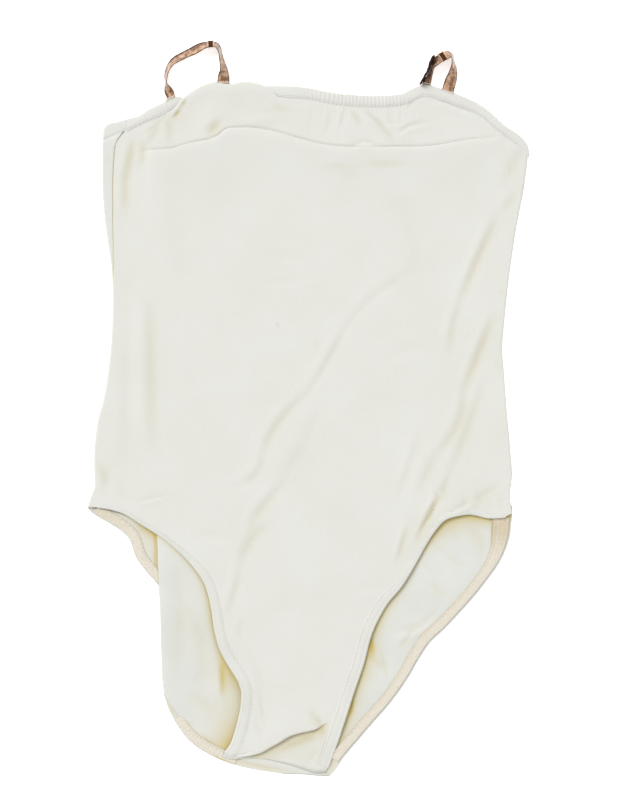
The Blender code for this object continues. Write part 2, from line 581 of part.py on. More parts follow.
def slider(name, table, at, material, group, cutters):
    """Slider: a flat ring round the ribbon, cut from a block, turned to the ribbon's frame."""
    here = np.asarray(table[at], float)
    ahead = np.asarray(table[at + 1][:2], float) - np.asarray(table[at - 1][:2], float)
    ahead /= np.linalg.norm(ahead)
    tilt = math.radians(here[4])
    x_axis = Vector((ahead[0], ahead[1], 0.0))
    y_axis = Vector((-ahead[1] * math.cos(tilt), ahead[0] * math.cos(tilt), -math.sin(tilt)))
    z_axis = x_axis.cross(y_axis)
    place = Matrix.Translation(Vector((here[0] - CENTRE_X, here[1] - CENTRE_Y, here[2])) * MM)
    place = place @ Matrix((x_axis, y_axis, z_axis)).transposed().to_4x4()

    def block(block_name, size, owner):
        """A box of the given size in the ribbon's frame."""
        mesh = bpy.data.meshes.new(block_name)
        bm = bmesh.new()
        bmesh.ops.create_cube(bm, size=1.0)
        bmesh.ops.scale(bm, vec=Vector(size) * MM, verts=bm.verts)
        bm.to_mesh(mesh)
        bm.free()
        obj = bpy.data.objects.new(block_name, mesh)
        obj.matrix_world = place
        owner.objects.link(obj)
        return obj

    hole_across = STRAP_WIDTH + 2 * GAP + 0.2
    hole_high = STRAP_THICK + 2 * GAP + 0.2
    body = block(name, (SLIDER_ALONG, hole_across + 2 * SLIDER_RIM, hole_high + 2 * SLIDER_RIM), group)
    body.data.materials.append(material)
    hole = block(name + "_hole", (SLIDER_ALONG * 2, hole_across, hole_high), cutters)
    hole.hide_render = True
    hole.display_type = "WIRE"
    cut = body.modifiers.new("hole", "BOOLEAN")
    cut.operation = "DIFFERENCE"
    cut.solver = "EXACT"
    cut.object = hole
    edge = body.modifiers.new("edge", "BEVEL")
    edge.width = SLIDER_EDGE * MM
    edge.segments = 2
    edge.limit_method = "ANGLE"
    return body


for old in list(bpy.data.objects):
    bpy.data.objects.remove(old, do_unlink=True)

leotard = bpy.data.collections.new("camisole_leotard")
cutters = bpy.data.collections.new("cutters")
bpy.context.scene.collection.children.link(leotard)
bpy.context.scene.collection.children.link(cutters)

jersey = plain_material("cream_jersey", CREAM, 0.62)
casing_cloth = plain_material("neck_casing_jersey", CREAM_DEEP, 0.64)
leg_band = plain_material("beige_elastic", BEIGE, 0.72)
satin = plain_material("tan_satin_elastic", TAN, 0.38)
bronze = plain_material("slider_metal", BRONZE, 0.35, 0.8)

front = front_grid()
upper_face = np.full(front.shape[:2], WALL / 2)
hem = HEM_RISE * smooth(np.array(LEG_SHARES) * 6)[:, None]
upper_face[-len(LEG_SHARES):, :HEM_STEPS] += hem
upper_face[-len(LEG_SHARES):, -HEM_STEPS:] += hem
wall_mesh("front_panel", front, upper_face, WALL / 2, jersey, leotard, 2)
wall_mesh("back_panel", back_grid(), WALL / 2, WALL / 2, jersey, leotard, 2)
casing_front("neck_casing_left", CASING_LEFT, front[0], casing_cloth, leotard)
casing_front("neck_casing_right", CASING_RIGHT, front[0], casing_cloth, leotard)
casing_back(casing_cloth, leotard)

back_leg_right = tuple((x, y) for y, x in reversed(BACK_LEG_RIGHT))
back_leg_left = tuple((x, y) for y, x in reversed(BACK_LEG_LEFT))
elastic("leg_elastic_right_back", back_leg_right, 0.03, 0.95, 26, 1, leg_band, leotard)
elastic("leg_elastic_left_hip", back_leg_left, 0.03, 0.275, 10, -1, leg_band, leotard)
elastic("leg_elastic_left_crotch", back_leg_left, 0.66, 0.86, 10, -1, leg_band, leotard)

strap("strap_left", STRAP_LEFT, 38, satin, leotard)
strap("strap_right", STRAP_RIGHT, 34, satin, leotard)
strap("strap_right_return", STRAP_RETURN, 14, satin, leotard)
slider("slider_left", STRAP_LEFT, SLIDER_LEFT_AT, bronze, leotard, cutters)
slider("slider_right", STRAP_RIGHT, SLIDER_RIGHT_AT, bronze, leotard, cutters)
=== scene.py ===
import math

import bpy
import numpy as np
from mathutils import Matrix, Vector


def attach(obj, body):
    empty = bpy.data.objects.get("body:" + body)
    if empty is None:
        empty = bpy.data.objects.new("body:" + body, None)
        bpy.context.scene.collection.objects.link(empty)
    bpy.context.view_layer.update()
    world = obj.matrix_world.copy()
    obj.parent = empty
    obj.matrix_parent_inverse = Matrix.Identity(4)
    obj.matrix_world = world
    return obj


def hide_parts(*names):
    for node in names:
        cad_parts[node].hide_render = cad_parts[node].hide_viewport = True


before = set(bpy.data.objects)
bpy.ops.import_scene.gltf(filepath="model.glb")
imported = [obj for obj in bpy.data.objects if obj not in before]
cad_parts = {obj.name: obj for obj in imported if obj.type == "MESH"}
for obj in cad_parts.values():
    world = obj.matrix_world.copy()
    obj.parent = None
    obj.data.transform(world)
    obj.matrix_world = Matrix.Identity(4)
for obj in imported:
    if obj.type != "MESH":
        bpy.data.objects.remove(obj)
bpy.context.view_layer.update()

# The back panel.
# One piece of cream nylon and elastane jersey, neckline to crotch. It lies on the table with its
# inside up, and on the left of the picture it turns up over itself to the side seam. Its left leg
# edge is tucked under, so a soft fold runs down inside that leg opening.

MM = 0.001
CENTRE = (0.5, 1.6)            # middle of the outline in these tables, which lies at the origin
JERSEY_THICK = 0.5             # nylon and elastane jersey, mm
ROLL = 1.5                     # radius at which the tube turns over at a side, mm
Z_BACK = 0.5                   # middle of the back's wall over the table
Z_FRONT = Z_BACK + 2 * ROLL
QUARTER = ROLL * math.pi / 2
SEAM_HALF = 0.01               # half the gap left at a seam
# The side seam's tan line on top of the back is painted shade.
SEAM_SHADE = 0.62               # how warm the back is along the side seam on top

SIDE_LEFT = (  # y, x of the outline above the leg
    (-92, -179.5), (-86.5, -186), (-85, -187), (-78, -185.5), (-64.5, -181.5),
    (-44, -182), (-17, -180), (10, -173.5), (44, -168.5), (71.5, -166.5),
    (92, -166), (112, -166.5), (139.5, -170), (166.5, -173.5), (194, -175),
    (219.5, -175), (237, -174), (246, -173.5),
)
SIDE_RIGHT = (  # y, x
    (-92, 173.5), (-86, 173.5), (-78, 171.5), (-64.5, 172.5), (-58, 173.5),
    (-30.5, 171.5), (-3.5, 169), (30.5, 166.5), (51, 165), (64.5, 166),
    (112, 171), (153, 177), (187, 183.5), (207.5, 186), (222.5, 187),
    (240, 187),
)
BACK_LEG_LEFT = (  # y, x of the back's left leg edge, or of the fold where it is tucked under
    (-311, -20), (-307.5, -44), (-302.5, -65.5), (-296, -81), (-289, -93.5),
    (-282, -102), (-268.5, -112), (-255, -119), (-241.5, -123), (-228, -124.5),
    (-197, -125), (-166.5, -126), (-153, -127), (-139.5, -137.5), (-126, -147),
    (-112, -152), (-105.5, -158), (-98.5, -168.5), (-92, -179.5), (-86.5, -186),
)
BACK_LEG_RIGHT = (  # y, x
    (-311, 18.5), (-306, 24), (-296, 31.5), (-282, 43.5), (-268.5, 55),
    (-255, 67), (-241.5, 77.5), (-228, 86.5), (-214, 94.5), (-200.5, 103.5),
    (-187, 117.5), (-173.5, 130), (-160, 142), (-146, 153), (-132.5, 162.5),
    (-119, 169), (-105.5, 172.5), (-92, 173.5),
)
BACK_TOP = (  # x, y of the back's neckline
    (-176, 235.5), (-160, 238), (-134.5, 246), (-104.5, 255), (-79, 260),
    (-41, 262), (-7, 261), (44, 256), (95, 258), (129, 252.5),
    (154.5, 241), (173.5, 228.5), (187, 221),
)
BACK_EDGE_TOP = 235.8          # the neckline's height at the left outline, and its slope from there
BACK_EDGE_RISE = 0.46
LEVEL_TOP = 206.0              # y below which the back's rows run level
LEG_TOP = -84.0                # y at which the left leg opening begins
PANEL_UNDER = 8.3              # how far the back's wall ends below its casing's upper edge
ON_TOP = 3.2                   # arc length at the left roll that always lies on top, mm
BELOW = -3.4                   # arc length at which the left roll has come down to the table, mm
CROTCH_DROP = 1.9              # how much lower the back's bottom hangs at the middle of the crotch
SEAM_OFFSET = (  # y, how far in along the cloth the left side seam lies
    (-100, 0), (70, 0), (92, 0.3), (110, 1.6), (140, 5.6), (176, 9.4),
    (206, 10.9), (222, 12.2), (230, 15.4), (236, 19.6), (250, 20.2),
)
TUCK_LINE = (  # y, x of the fold in the left leg opening, how much of its height, how far out it lies
    (-311, -8, 0, 0), (-290, -80, 0, 0), (-270, -103, 0.15, 0),
    (-258, -112.5, 0.5, 0.3), (-246, -119.5, 0.85, 0.8), (-234, -123, 1, 1),
    (-200, -124.6, 1, 1), (-166, -125.6, 1, 1), (-155, -126.4, 1, 1),
    (-149, -126.2, 1, 0.6), (-131, -127, 1, 0), (-118, -127.2, 1, 0),
    (-106, -128.2, 0.9, 0), (-96, -128.6, 0.5, 0), (-86, -128, 0, 0),
    (-70, -128, 0, 0),
)
TUCK_PROFILE = (  # step across the fold, place flat, place folded, its height, place at the outline, mm
    (0, -3, -3, 0, 0.5), (0.18, -1.4, 0.2, 0, 0.8), (0.32, -0.4, 1.5, 0.15, 1.5),
    (0.42, 0.2, 1.7, 0.7, 1.6), (0.52, 0.8, 0.6, 1.15, 0.5), (0.62, 1.4, -0.2, 1.6, -0.3),
    (0.76, 2.4, 0.5, 2.1, 0.4), (1, 4.2, 4.2, 2.2, 4.2),
)
TUCK_FADE = 24.0
# The last column of each crease is how much painted shade lies in its dip.
BACK_CREASES = (  # x, y at the start, middle and end, depth, half width, warmth
    (108.8, -117.3, 122.4, -129.2, 136, -136, 0.55, 1.9, 0.1),
    (98.6, -147.9, 112.2, -156.4, 119, -161.5, 0.45, 2, 0.1),
    (74.8, -189, 94, -186, 112, -170, 0.65, 2.8, 0.1),
    (88, -187, 84, -198, 76, -204, 0.4, 2.4, 0.1),
    (57.8, -200.6, 65, -214, 68.5, -231, 0.75, 1.5, 0.1),
    (52, -212, 60, -217, 64, -224, 0.5, 2, 0.2),
    (132, -103, 146, -112, 150, -132, 0.4, 3.2, 0.15),
    (-112, -130, -106, -175, -108, -228, 0.35, 6, 0.08),
    (-96, -172, -88, -205, -90, -236, 0.35, 5, 0.12),
    (-104, -246, -90, -250, -76, -262, 0.3, 4, 0.12),
    (-73.6, -216, -72.6, -230, -72, -247, 0.3, 1.7, 0.6),
    (-92, -278, -84, -286, -76, -291, 0.4, 2.6, 0.55),
    (52, -196, 55, -204, 54, -212, 0.5, 1.8, 0.5),
    (34, -247, 36.5, -254, 35, -262, 0.4, 1.8, 0.45),
    (-62, -300, -40, -305, -12, -309.5, 0.3, 1.6, 0.3),
    (26, -296, 22, -302, 18, -309, 0.3, 2.2, 0.35),
    (100, -132, 108, -146, 112, -160, 0.4, 2.2, 0.05),
)
# Where the front's leg edges shade the back: x, y, how warm the shade is, how wide, mm
SHADE_LEFT = (
    (-187, -84, 0.4, 1.4), (-160, -87.8, 0.8, 1.6), (-149, -94.4, 0.5, 1.8),
    (-139.9, -99.4, 0.9, 4.8), (-131.5, -104.6, 1, 4), (-123.2, -110.2, 0.7, 2.2),
    (-110.7, -120.6, 0.75, 2.2), (-97.2, -134.4, 0.85, 2.4), (-86.4, -151.3, 1, 2.8),
    (-81.4, -171, 1, 3.4), (-79.3, -185.8, 1, 3), (-75.5, -201.5, 1, 2.8),
    (-70, -213.5, 1, 6.2), (-63.5, -224, 1, 8.5), (-57.8, -234, 0.8, 10),
    (-55.8, -243, 0.6, 11), (-56.2, -251, 0.5, 12), (-61.6, -275.5, 0.75, 13),
    (-69.5, -291.5, 1, 9), (-73.4, -296, 1, 6),
)
SHADE_RIGHT = (
    (173.5, -89, 1, 6.5), (154.5, -93.2, 1, 5), (132.5, -90.6, 1, 7),
    (116.2, -94.8, 1, 9), (104, -110, 0.9, 5), (92.2, -129.8, 0.8, 2.4),
    (79.1, -151.2, 0.85, 3), (65.8, -167.7, 1, 4.2), (53.4, -192.6, 1, 5),
    (46.4, -218.6, 1, 5.6), (39, -240, 1, 4.8), (32, -261.7, 1, 5),
    (15.5, -305, 1, 3.4),
)


def hermite(knots, values, at):
    """Smooth values at the places given: cubics through the knots, flat where the values turn."""
    knots = np.asarray(knots, float)
    values = np.asarray(values, float)
    at = np.clip(np.asarray(at, float), knots[0], knots[-1])
    step = np.diff(knots)
    chord = np.diff(values) / step
    slope = np.zeros_like(values)
    same = chord[:-1] * chord[1:] > 0
    weight = np.where(same, chord[:-1] + chord[1:], 1.0)
    slope[1:-1] = np.where(same, 2 * chord[:-1] * chord[1:] / weight, 0.0)
    slope[0], slope[-1] = chord[0], chord[-1]
    i = np.clip(np.searchsorted(knots, at, side="right") - 1, 0, len(knots) - 2)
    h = step[i]
    t = (at - knots[i]) / h
    rest = 1 - t
    return (values[i] * (1 + 2 * t) * rest**2 + slope[i] * h * t * rest**2
            + values[i + 1] * t * t * (3 - 2 * t) - slope[i + 1] * h * t * t * rest)


def read(table, at, value=1):
    """A value column of a table, read smoothly at places in its first column."""
    rows = np.asarray(table, float)
    return hermite(rows[:, 0], rows[:, value], at)


def run_of(points):
    """Length in plan from the first point of a path to each of its points."""
    steps = np.diff(np.asarray(points, float)[:, :2], axis=0)
    return np.concatenate(([0.0], np.cumsum(np.hypot(*steps.T))))


def along(table, share):
    """All columns of a table of points, read at shares of the length of its path in plan."""
    rows = np.asarray(table, float)
    place = run_of(rows)
    return np.stack([hermite(place / place[-1], rows[:, k], share) for k in range(rows.shape[1])], -1)


def ease(t):
    """0 below 0, 1 above 1, and 3t^2 - 2t^3 between."""
    t = np.clip(t, 0.0, 1.0)
    return t * t * (3 - 2 * t)


def turn(edge, side, start, p):
    """x and z at arc length p round a side of the tube: a half circle of ROLL, flat beyond it.

    p is 0 at the outermost point, positive on top and negative underneath. start is the angle at
    which a piece that has left the roll begins, so that its edge still meets the outline.
    """
    centre = JERSEY_THICK / 2 + ROLL * np.cos(start)
    angle = np.clip(p / ROLL, -math.pi / 2, math.pi / 2)
    inward = centre - ROLL * np.cos(angle) + np.maximum(np.abs(p) - QUARTER, 0.0)
    return edge + side * inward, Z_BACK + ROLL + ROLL * np.sin(angle)


def creases(table, x, y):
    """Height of soft creases and the painted shade in them, each along a curve through three points.

    Across a crease the height is a dip, -depth exp(-(d/w)^2), and a lower, wider rise beside it,
    and both fade towards the ends. The painted shade, a warm tint for the crease's shadow, follows
    the dip, a little wider.
    """
    height = np.zeros_like(x)
    shade_and_marks = np.zeros_like(x)
    t = np.linspace(0.0, 1.0, 9)
    for x0, y0, x1, y1, x2, y2, depth, width, tone in table:
        px = x0 * (1 - t) * (1 - 2 * t) + x1 * 4 * t * (1 - t) + x2 * t * (2 * t - 1)
        py = y0 * (1 - t) * (1 - 2 * t) + y1 * 4 * t * (1 - t) + y2 * t * (2 * t - 1)
        reach = 5 * width
        near = ((x > px.min() - reach) & (x < px.max() + reach)
                & (y > py.min() - reach) & (y < py.max() + reach))
        if not near.any():
            continue
        ax, ay = px[:-1], py[:-1]
        bx, by = np.diff(px), np.diff(py)
        length = bx**2 + by**2
        qx, qy = x[near][:, None] - ax, y[near][:, None] - ay
        s = np.clip((qx * bx + qy * by) / length, 0.0, 1.0)
        gap = np.hypot(qx - s * bx, qy - s * by)
        k = gap.argmin(axis=1)
        row = np.arange(len(k))
        side = np.sign(qx[row, k] * by[k] - qy[row, k] * bx[k])
        d = gap[row, k] * side
        place = (k + s[row, k]) / len(bx)
        fade = np.sin(math.pi * np.clip(place, 0.02, 0.98)) ** 0.7
        dip = np.exp(-((d / width) ** 2))
        rise = np.exp(-(((d - 1.9 * width) / (1.4 * width)) ** 2))
        height[near] += depth * fade * (0.6 * rise - dip)
        shade_and_marks[near] += tone * fade * np.exp(-((d / (1.5 * width)) ** 2))
    return height, shade_and_marks


def shade_beside(table, x, y):
    """Warm shade on the back beside one of the front's leg edges, fading out in its own width."""
    path = along(table, np.linspace(0.0, 1.0, 160))
    near = (x > path[:, 0].min() - 40) & (x < path[:, 0].max() + 40) & (y < -60)
    shade_and_marks = np.zeros_like(x)
    gap = np.hypot(x[near][:, None] - path[:, 0], y[near][:, None] - path[:, 1])
    k = gap.argmin(axis=1)
    shade_and_marks[near] = path[k, 2] * np.exp(-((gap.min(axis=1) / path[k, 3]) ** 1.2))
    return shade_and_marks


def lay_mesh(name, points, faces, material, uv=None, shade_and_marks=None):
    """A piece from its points in mm, with its UV map in cm of cloth and its painted shade and marks per
    point.
    """
    mesh = bpy.data.meshes.new(name)
    points = np.asarray(points, float).reshape(-1, 3)
    faces = np.asarray(faces, np.int32)
    mesh.vertices.add(len(points))
    mesh.vertices.foreach_set("co", ((points - (*CENTRE, 0.0)) * MM).astype(np.float32).ravel())
    mesh.loops.add(faces.size)
    mesh.loops.foreach_set("vertex_index", faces.ravel())
    mesh.polygons.add(len(faces))
    mesh.polygons.foreach_set("loop_start", np.arange(0, faces.size, faces.shape[1], dtype=np.int32))
    mesh.update(calc_edges=True)
    mesh.validate()
    mesh.shade_smooth()
    if uv is not None:
        layer = mesh.uv_layers.new(name="cloth")
        flat = np.asarray(uv, float).reshape(-1, 2)[faces.ravel()] / 10.0
        layer.data.foreach_set("uv", flat.astype(np.float32).ravel())
    tone = np.zeros(len(points)) if shade_and_marks is None else np.asarray(shade_and_marks, float).ravel()
    mesh.attributes.new("shade_and_marks", "FLOAT", "POINT").data.foreach_set("value", tone.astype(np.float32))
    mesh.materials.append(material)
    obj = bpy.data.objects.new(name, mesh)
    bpy.context.scene.collection.objects.link(obj)
    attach(obj, "root")
    return obj


def grid_faces(rows, cols, ring=False):
    """Quads of a grid of points, wound to face up where rows run down and columns to the right."""
    index = np.arange(rows * cols).reshape(rows, cols)
    if ring:
        index = np.concatenate((index, index[:, :1]), axis=1)
    a, b, c, d = index[:-1, :-1], index[1:, :-1], index[1:, 1:], index[:-1, 1:]
    return np.stack((a, b, c, d), -1).reshape(-1, 4)


def cloth(name, grid, material, shade_and_marks=None):
    """A thin shell on a grid of points: UV from arc lengths across and down, thickened evenly."""
    rows, cols = grid.shape[:2]
    across = np.linalg.norm(np.diff(grid, axis=1), axis=-1)
    across = np.concatenate((np.zeros((rows, 1)), np.cumsum(across, axis=1)), axis=1)
    across -= across[:, cols // 2][:, None]
    down = np.linalg.norm(np.diff(grid, axis=0), axis=-1)[:, cols // 2]
    down = np.concatenate(([0.0], np.cumsum(down)))[:, None] + np.zeros((rows, cols))
    obj = lay_mesh(name, grid, grid_faces(rows, cols), material, np.stack((across, down), -1), shade_and_marks)
    shell = obj.modifiers.new("cloth thickness", "SOLIDIFY")
    shell.thickness = JERSEY_THICK * MM
    shell.offset = 0.0
    return obj


def srgb(code, alpha=1.0):
    """A hex colour as linear numbers."""
    parts = [int(code[i:i + 2], 16) / 255 for i in (0, 2, 4)]
    return [c / 12.92 if c <= 0.04045 else ((c + 0.055) / 1.055) ** 2.4 for c in parts] + [alpha]


def add(tree, kind, inputs=None, **settings):
    """Adds one node with its settings, its values and its links."""
    node = tree.nodes.new(kind)
    for key, value in settings.items():
        setattr(node, key, value)
    for key, value in (inputs or {}).items():
        if isinstance(value, bpy.types.NodeSocket):
            tree.links.new(value, node.inputs[key])
        else:
            node.inputs[key].default_value = value
    return node


def finish_of(name, rough, **values):
    """A new material and its Principled shader, with the values that are the same all over it."""
    material = bpy.data.materials.new(name)
    material.use_nodes = True
    shader = material.node_tree.nodes["Principled BSDF"]
    shader.inputs["Roughness"].default_value = rough
    for key, value in values.items():
        shader.inputs[key.replace("_", " ")].default_value = value
    return material, shader


def join(tree, shader, mottle, span, colours, height, strength, depth):
    """Joins a finish's patterns to its shader, and returns the output of its point attribute of painted
    shade and marks.

    mottle blends the first two of three colours over its span, the point attribute blends in the third,
    which is painted shade (and on some pieces the thing's own marks), and height is raised by a bump,
    depth metres at most.
    """
    blend = add(tree, "ShaderNodeMapRange", {"Value": mottle, "From Min": span[0], "From Max": span[1]})
    body = add(tree, "ShaderNodeMix", data_type="RGBA", inputs={
        "Factor": blend.outputs["Result"], 6: srgb(colours[0]), 7: srgb(colours[1])})
    shade_and_marks = add(tree, "ShaderNodeAttribute", attribute_name="shade_and_marks", attribute_type="GEOMETRY")
    tone = add(tree, "ShaderNodeMix", data_type="RGBA", inputs={
        "Factor": shade_and_marks.outputs["Fac"], 6: body.outputs[2], 7: srgb(colours[2])})
    tree.links.new(tone.outputs[2], shader.inputs["Base Color"])
    bump = add(tree, "ShaderNodeBump", {"Height": height, "Strength": strength, "Distance": depth})
    tree.links.new(bump.outputs["Normal"], shader.inputs["Normal"])
    return shade_and_marks.outputs["Fac"]


def jersey(name, light, shade, warm):
    """Nylon and elastane jersey, warp knitted and pressed: a soft, nearly even pale surface.

    The colour drifts between two creams over some 5 cm, and goes towards the warm colour in dips
    and under overhanging edges, which is painted shade; on the front the same tint also marks faint
    stains. The knit's wales are about 0.4 mm apart, too fine to show, and are drawn 1.1 mm apart.
    """
    material, shader = finish_of(name, 0.66, Sheen_Weight=0.22, Sheen_Roughness=0.45,
                                 Specular_IOR_Level=0.32)
    tree = material.node_tree
    uv = add(tree, "ShaderNodeUVMap", uv_map="cloth").outputs["UV"]
    drift = add(tree, "ShaderNodeTexNoise", {"Vector": uv, "Scale": 0.22, "Detail": 3.0, "Roughness": 0.55})
    wales = add(tree, "ShaderNodeTexWave", {"Vector": uv, "Scale": 1.45, "Distortion": 0.6, "Detail": 1.0,
                                            "Detail Scale": 2.0}, wave_type="BANDS", bands_direction="X")
    crumple = add(tree, "ShaderNodeTexNoise", {"Vector": uv, "Scale": 2.4, "Detail": 4.0, "Roughness": 0.6})
    both = add(tree, "ShaderNodeMath", {0: wales.outputs["Fac"], 1: 0.10, 2: crumple.outputs["Fac"]},
               operation="MULTIPLY_ADD")
    join(tree, shader, drift.outputs["Fac"], (0.35, 0.68), (light, shade, warm),
         both.outputs[0], 0.32, 0.0006)
    return material


# The third colour, a warm gold, is the tint of painted shade on the back.
cream_back = jersey("cream nylon jersey, back", "D9DAD4", "D4D5CE", "C7B365")


def back_panel_grid():
    """The back: rows from the neckline down to the crotch, columns from the seam on top, round the
    left side and across the table to the right side. Returns points and painted shade per point."""
    blend = np.concatenate((np.linspace(0.0, 1.0, 6)[:-1], np.ones(204)))
    level = np.concatenate((np.full(5, LEVEL_TOP), np.linspace(LEVEL_TOP, LEG_TOP, 56),
                            np.linspace(-85.5, -311.0, 148)))[:, None]
    blend = blend[:, None]
    left_y = (BACK_EDGE_TOP - PANEL_UNDER) * (1 - blend) + level * blend
    right_top = float(read(BACK_TOP, 186.0)) - PANEL_UNDER
    right_y = right_top * (1 - blend) + level * blend
    free = ease((LEG_TOP - left_y) / 14.0)
    free_right = ease((-80.0 - right_y) / 14.0)
    seam = np.zeros_like(left_y)
    for _ in range(8):
        seam = read(SEAM_OFFSET, left_y + BACK_EDGE_RISE * (1 - blend) * np.maximum(seam, 0.0)) - SEAM_HALF
    first = seam * (1 - free) - QUARTER * free
    left_x = np.where(left_y > -86.5, read(SIDE_LEFT, left_y), read(BACK_LEG_LEFT, left_y))
    right_x = np.where(right_y > -92.0, read(SIDE_RIGHT, right_y), read(BACK_LEG_RIGHT, right_y))

    # Arc lengths round the left side: up to the seam, round the roll, then out to the fold's line
    top_part = np.array([1.0, 0.8, 0.6, 0.4, 0.2])[None, :]
    wrap = ON_TOP + np.maximum(first - ON_TOP, 0.0) * top_part
    round_part = np.linspace(ON_TOP - 0.2, BELOW, 17)[None, :]
    fixed = np.concatenate((wrap, np.broadcast_to(round_part, (len(level), 17))), axis=1)
    squeeze = 0.06 * np.arange(fixed.shape[1])[None, :]
    p_left = np.minimum(fixed, first - squeeze)
    lx, lz = turn(left_x, 1, math.pi / 2 * free, p_left)

    fold_x = read(TUCK_LINE, level)
    amount = read(TUCK_LINE, level, 2)
    profile = np.linspace(0.0, 1.0, 17)[None, :]
    flat_x = read(TUCK_PROFILE, profile)
    folded_x = read(TUCK_PROFILE, profile, 2)
    outer = read(TUCK_LINE, level, 3)
    folded_x = folded_x * (1 - outer) + read(TUCK_PROFILE, profile, 4) * outer
    fx = fold_x + flat_x * (1 - amount) + folded_x * amount
    fz = Z_BACK + read(TUCK_PROFILE, profile, 3) * amount
    start = fx[:, :1]
    inner = np.minimum(lx[:, -1:], start - 0.2)
    lx = np.minimum(lx, start - 0.2 - 0.02 * np.arange(lx.shape[1])[None, ::-1])
    wedge = inner + (start - inner) * np.linspace(0.0, 1.0, 18)[None, 1:-1]

    right_arc = np.array([14.0, 9.0, 6.0, 4.0, 3.0, 2.4, 1.9, 1.4, 0.9, 0.4, 0.0])[None, :]
    rx, rz = turn(right_x, -1, math.pi / 2 * free_right,
                  -np.maximum(SEAM_HALF, QUARTER * free_right) - right_arc)
    share = np.linspace(0.0, 1.0, 150)[None, 1:-1]
    end = fx[:, -1:]
    room = np.maximum(rx[:, :1] - end, 1.0)
    mx = end + room * share
    x = np.concatenate((lx, wedge, fx, mx, rx), axis=1)
    z = np.concatenate((lz, np.full_like(wedge, Z_BACK), fz, np.full_like(mx, Z_BACK), rz), axis=1)
    beyond = np.maximum(x - end, 0.0)
    fade = np.exp(-((beyond / TUCK_FADE) ** 1.6)) * (x > end)
    z = z + read(TUCK_PROFILE, 1.0, 3) * amount * fade

    top = read(BACK_TOP, x)
    rise = np.concatenate((p_left, np.zeros((len(level), x.shape[1] - p_left.shape[1]))), axis=1)
    top = np.where(rise > 0, BACK_EDGE_TOP + BACK_EDGE_RISE * rise, top)
    y = (top - PANEL_UNDER) * (1 - blend) + level * blend
    y = y - CROTCH_DROP * np.exp(-(((x - 14.0) / 15.0) ** 2)) * ease((-298.0 - y) / 13.0)
    # The back's creases have painted shade in their dips.
    height, shade_and_marks = creases(BACK_CREASES, x, y)
    shown = ease((right_x - x - 12.0) / 10.0) * (y < -88.0)
    flat = np.abs(z - Z_BACK) < 2.6
    z = z + np.maximum(height + 0.3, 0.0) * shown * flat
    # Painted shade beside the front's leg edges, where they overhang the back.
    shade_and_marks = shade_and_marks * shown + shade_beside(SHADE_LEFT, x, y) + shade_beside(SHADE_RIGHT, x, y)
    # Painted shade in a stripe along the tuck's fold, on the cloth tucked under it.
    under = (x < fold_x) & (x > left_x)
    past = np.maximum(fold_x - x, 0.0)
    fold_shade = 0.4 * np.exp(-past / 9.0) + 0.45 * np.exp(-(((past - 2.4) / 1.5) ** 2))
    shade_and_marks = shade_and_marks + amount * (1 - outer) * fold_shade * under
    # Painted shade along the side seam on top, fading out near the neckline.
    seam_shade = SEAM_SHADE * (1 - free) * np.exp(-((first - p_left) / 0.8) ** 2) * (left_y > 88.0)
    seam_shade = seam_shade * (0.1 + 0.9 * ease((229.0 - left_y) / 12.0))
    shade_and_marks[:, :p_left.shape[1]] += seam_shade
    return np.stack((x, y, z), -1), np.clip(shade_and_marks, 0.0, 1.0)


back_points, back_painted_shade = back_panel_grid()
back = cloth("back_panel_jersey", back_points, cream_back, back_painted_shade)
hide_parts("back_panel")

# The front panel.
# The same jersey, neckline to crotch, lying on the back. Its lower part laps up over the chest in a
# soft fold, the top left has rolled over the neckline, and long creases run down from both sides.

FRONT_TOP = (  # x, y of the panel's top, below the casing, or of the rolled cloth that hides it
    (-160, 232.9), (-154, 236.4), (-143, 240.9), (-130, 246), (-119, 251),
    (-113, 255), (-108, 261), (-102, 266.5), (-95, 271), (-85, 275.7),
    (-76.5, 277), (-69.5, 275), (-63, 275.5), (-54.5, 277.5), (-44, 276),
    (-36.5, 273.5), (-30.5, 268.5), (-24.5, 263.8), (-15.5, 263.2), (-2.5, 262.5),
    (17, 259), (30.5, 257), (58, 255.5), (78, 257), (92, 262), (98.5, 264.5),
    (112, 262), (132.5, 254.5), (146, 248.5), (160, 236.5), (173.5, 226),
    (180, 221.5), (187, 213.5),
)
ROLLED = (  # x, how far the top is rolled over, 0 to 1
    (-160, 0), (-122, 0), (-114, 0.7), (-104, 1), (-60, 1), (-40, 1),
    (-30, 0.8), (-22, 0.1), (-15, 0), (187, 0),
)
CHEST = (  # x, y of the fold across the chest, and how much of its full height it has
    (-176, 203, 0), (-154, 210, 0), (-140, 217, 0.15), (-131, 218.5, 0.7),
    (-117.3, 219.3, 0.9), (-105.4, 222.7, 0.9), (-92, 225.6, 1), (-81.6, 228, 1),
    (-75, 231.4, 1), (-70.5, 235.6, 1), (-64, 237, 1), (-51, 237.2, 1),
    (-40.8, 236.3, 1), (-23.8, 232.9, 1), (-6.8, 227.8, 1), (10.2, 223.6, 1),
    (27.2, 221.2, 1), (51, 220.6, 1), (74.8, 221, 1), (95.2, 221.2, 0.95),
    (112.2, 222.8, 0.9), (129.2, 226, 0.8), (146.2, 228.2, 0.7), (157, 228.8, 0.5),
    (165, 226, 0.2), (172, 216, 0), (187, 200, 0),
)
CHEST_PROFILE = (  # step down the fold, its place flat, its place folded, its height, all mm
    (0, 3, 3, 0), (0.18, 1.8, 0.6, -0.45), (0.32, 1, -1.3, -0.1), (0.42, 0.4, -1.6, 0.55),
    (0.52, -0.2, -0.5, 1.1), (0.62, -0.8, 0.6, 1.6), (0.76, -1.8, 0.1, 2.2), (1, -3.6, -3.6, 2.45),
)
CHEST_FADE = 28.0
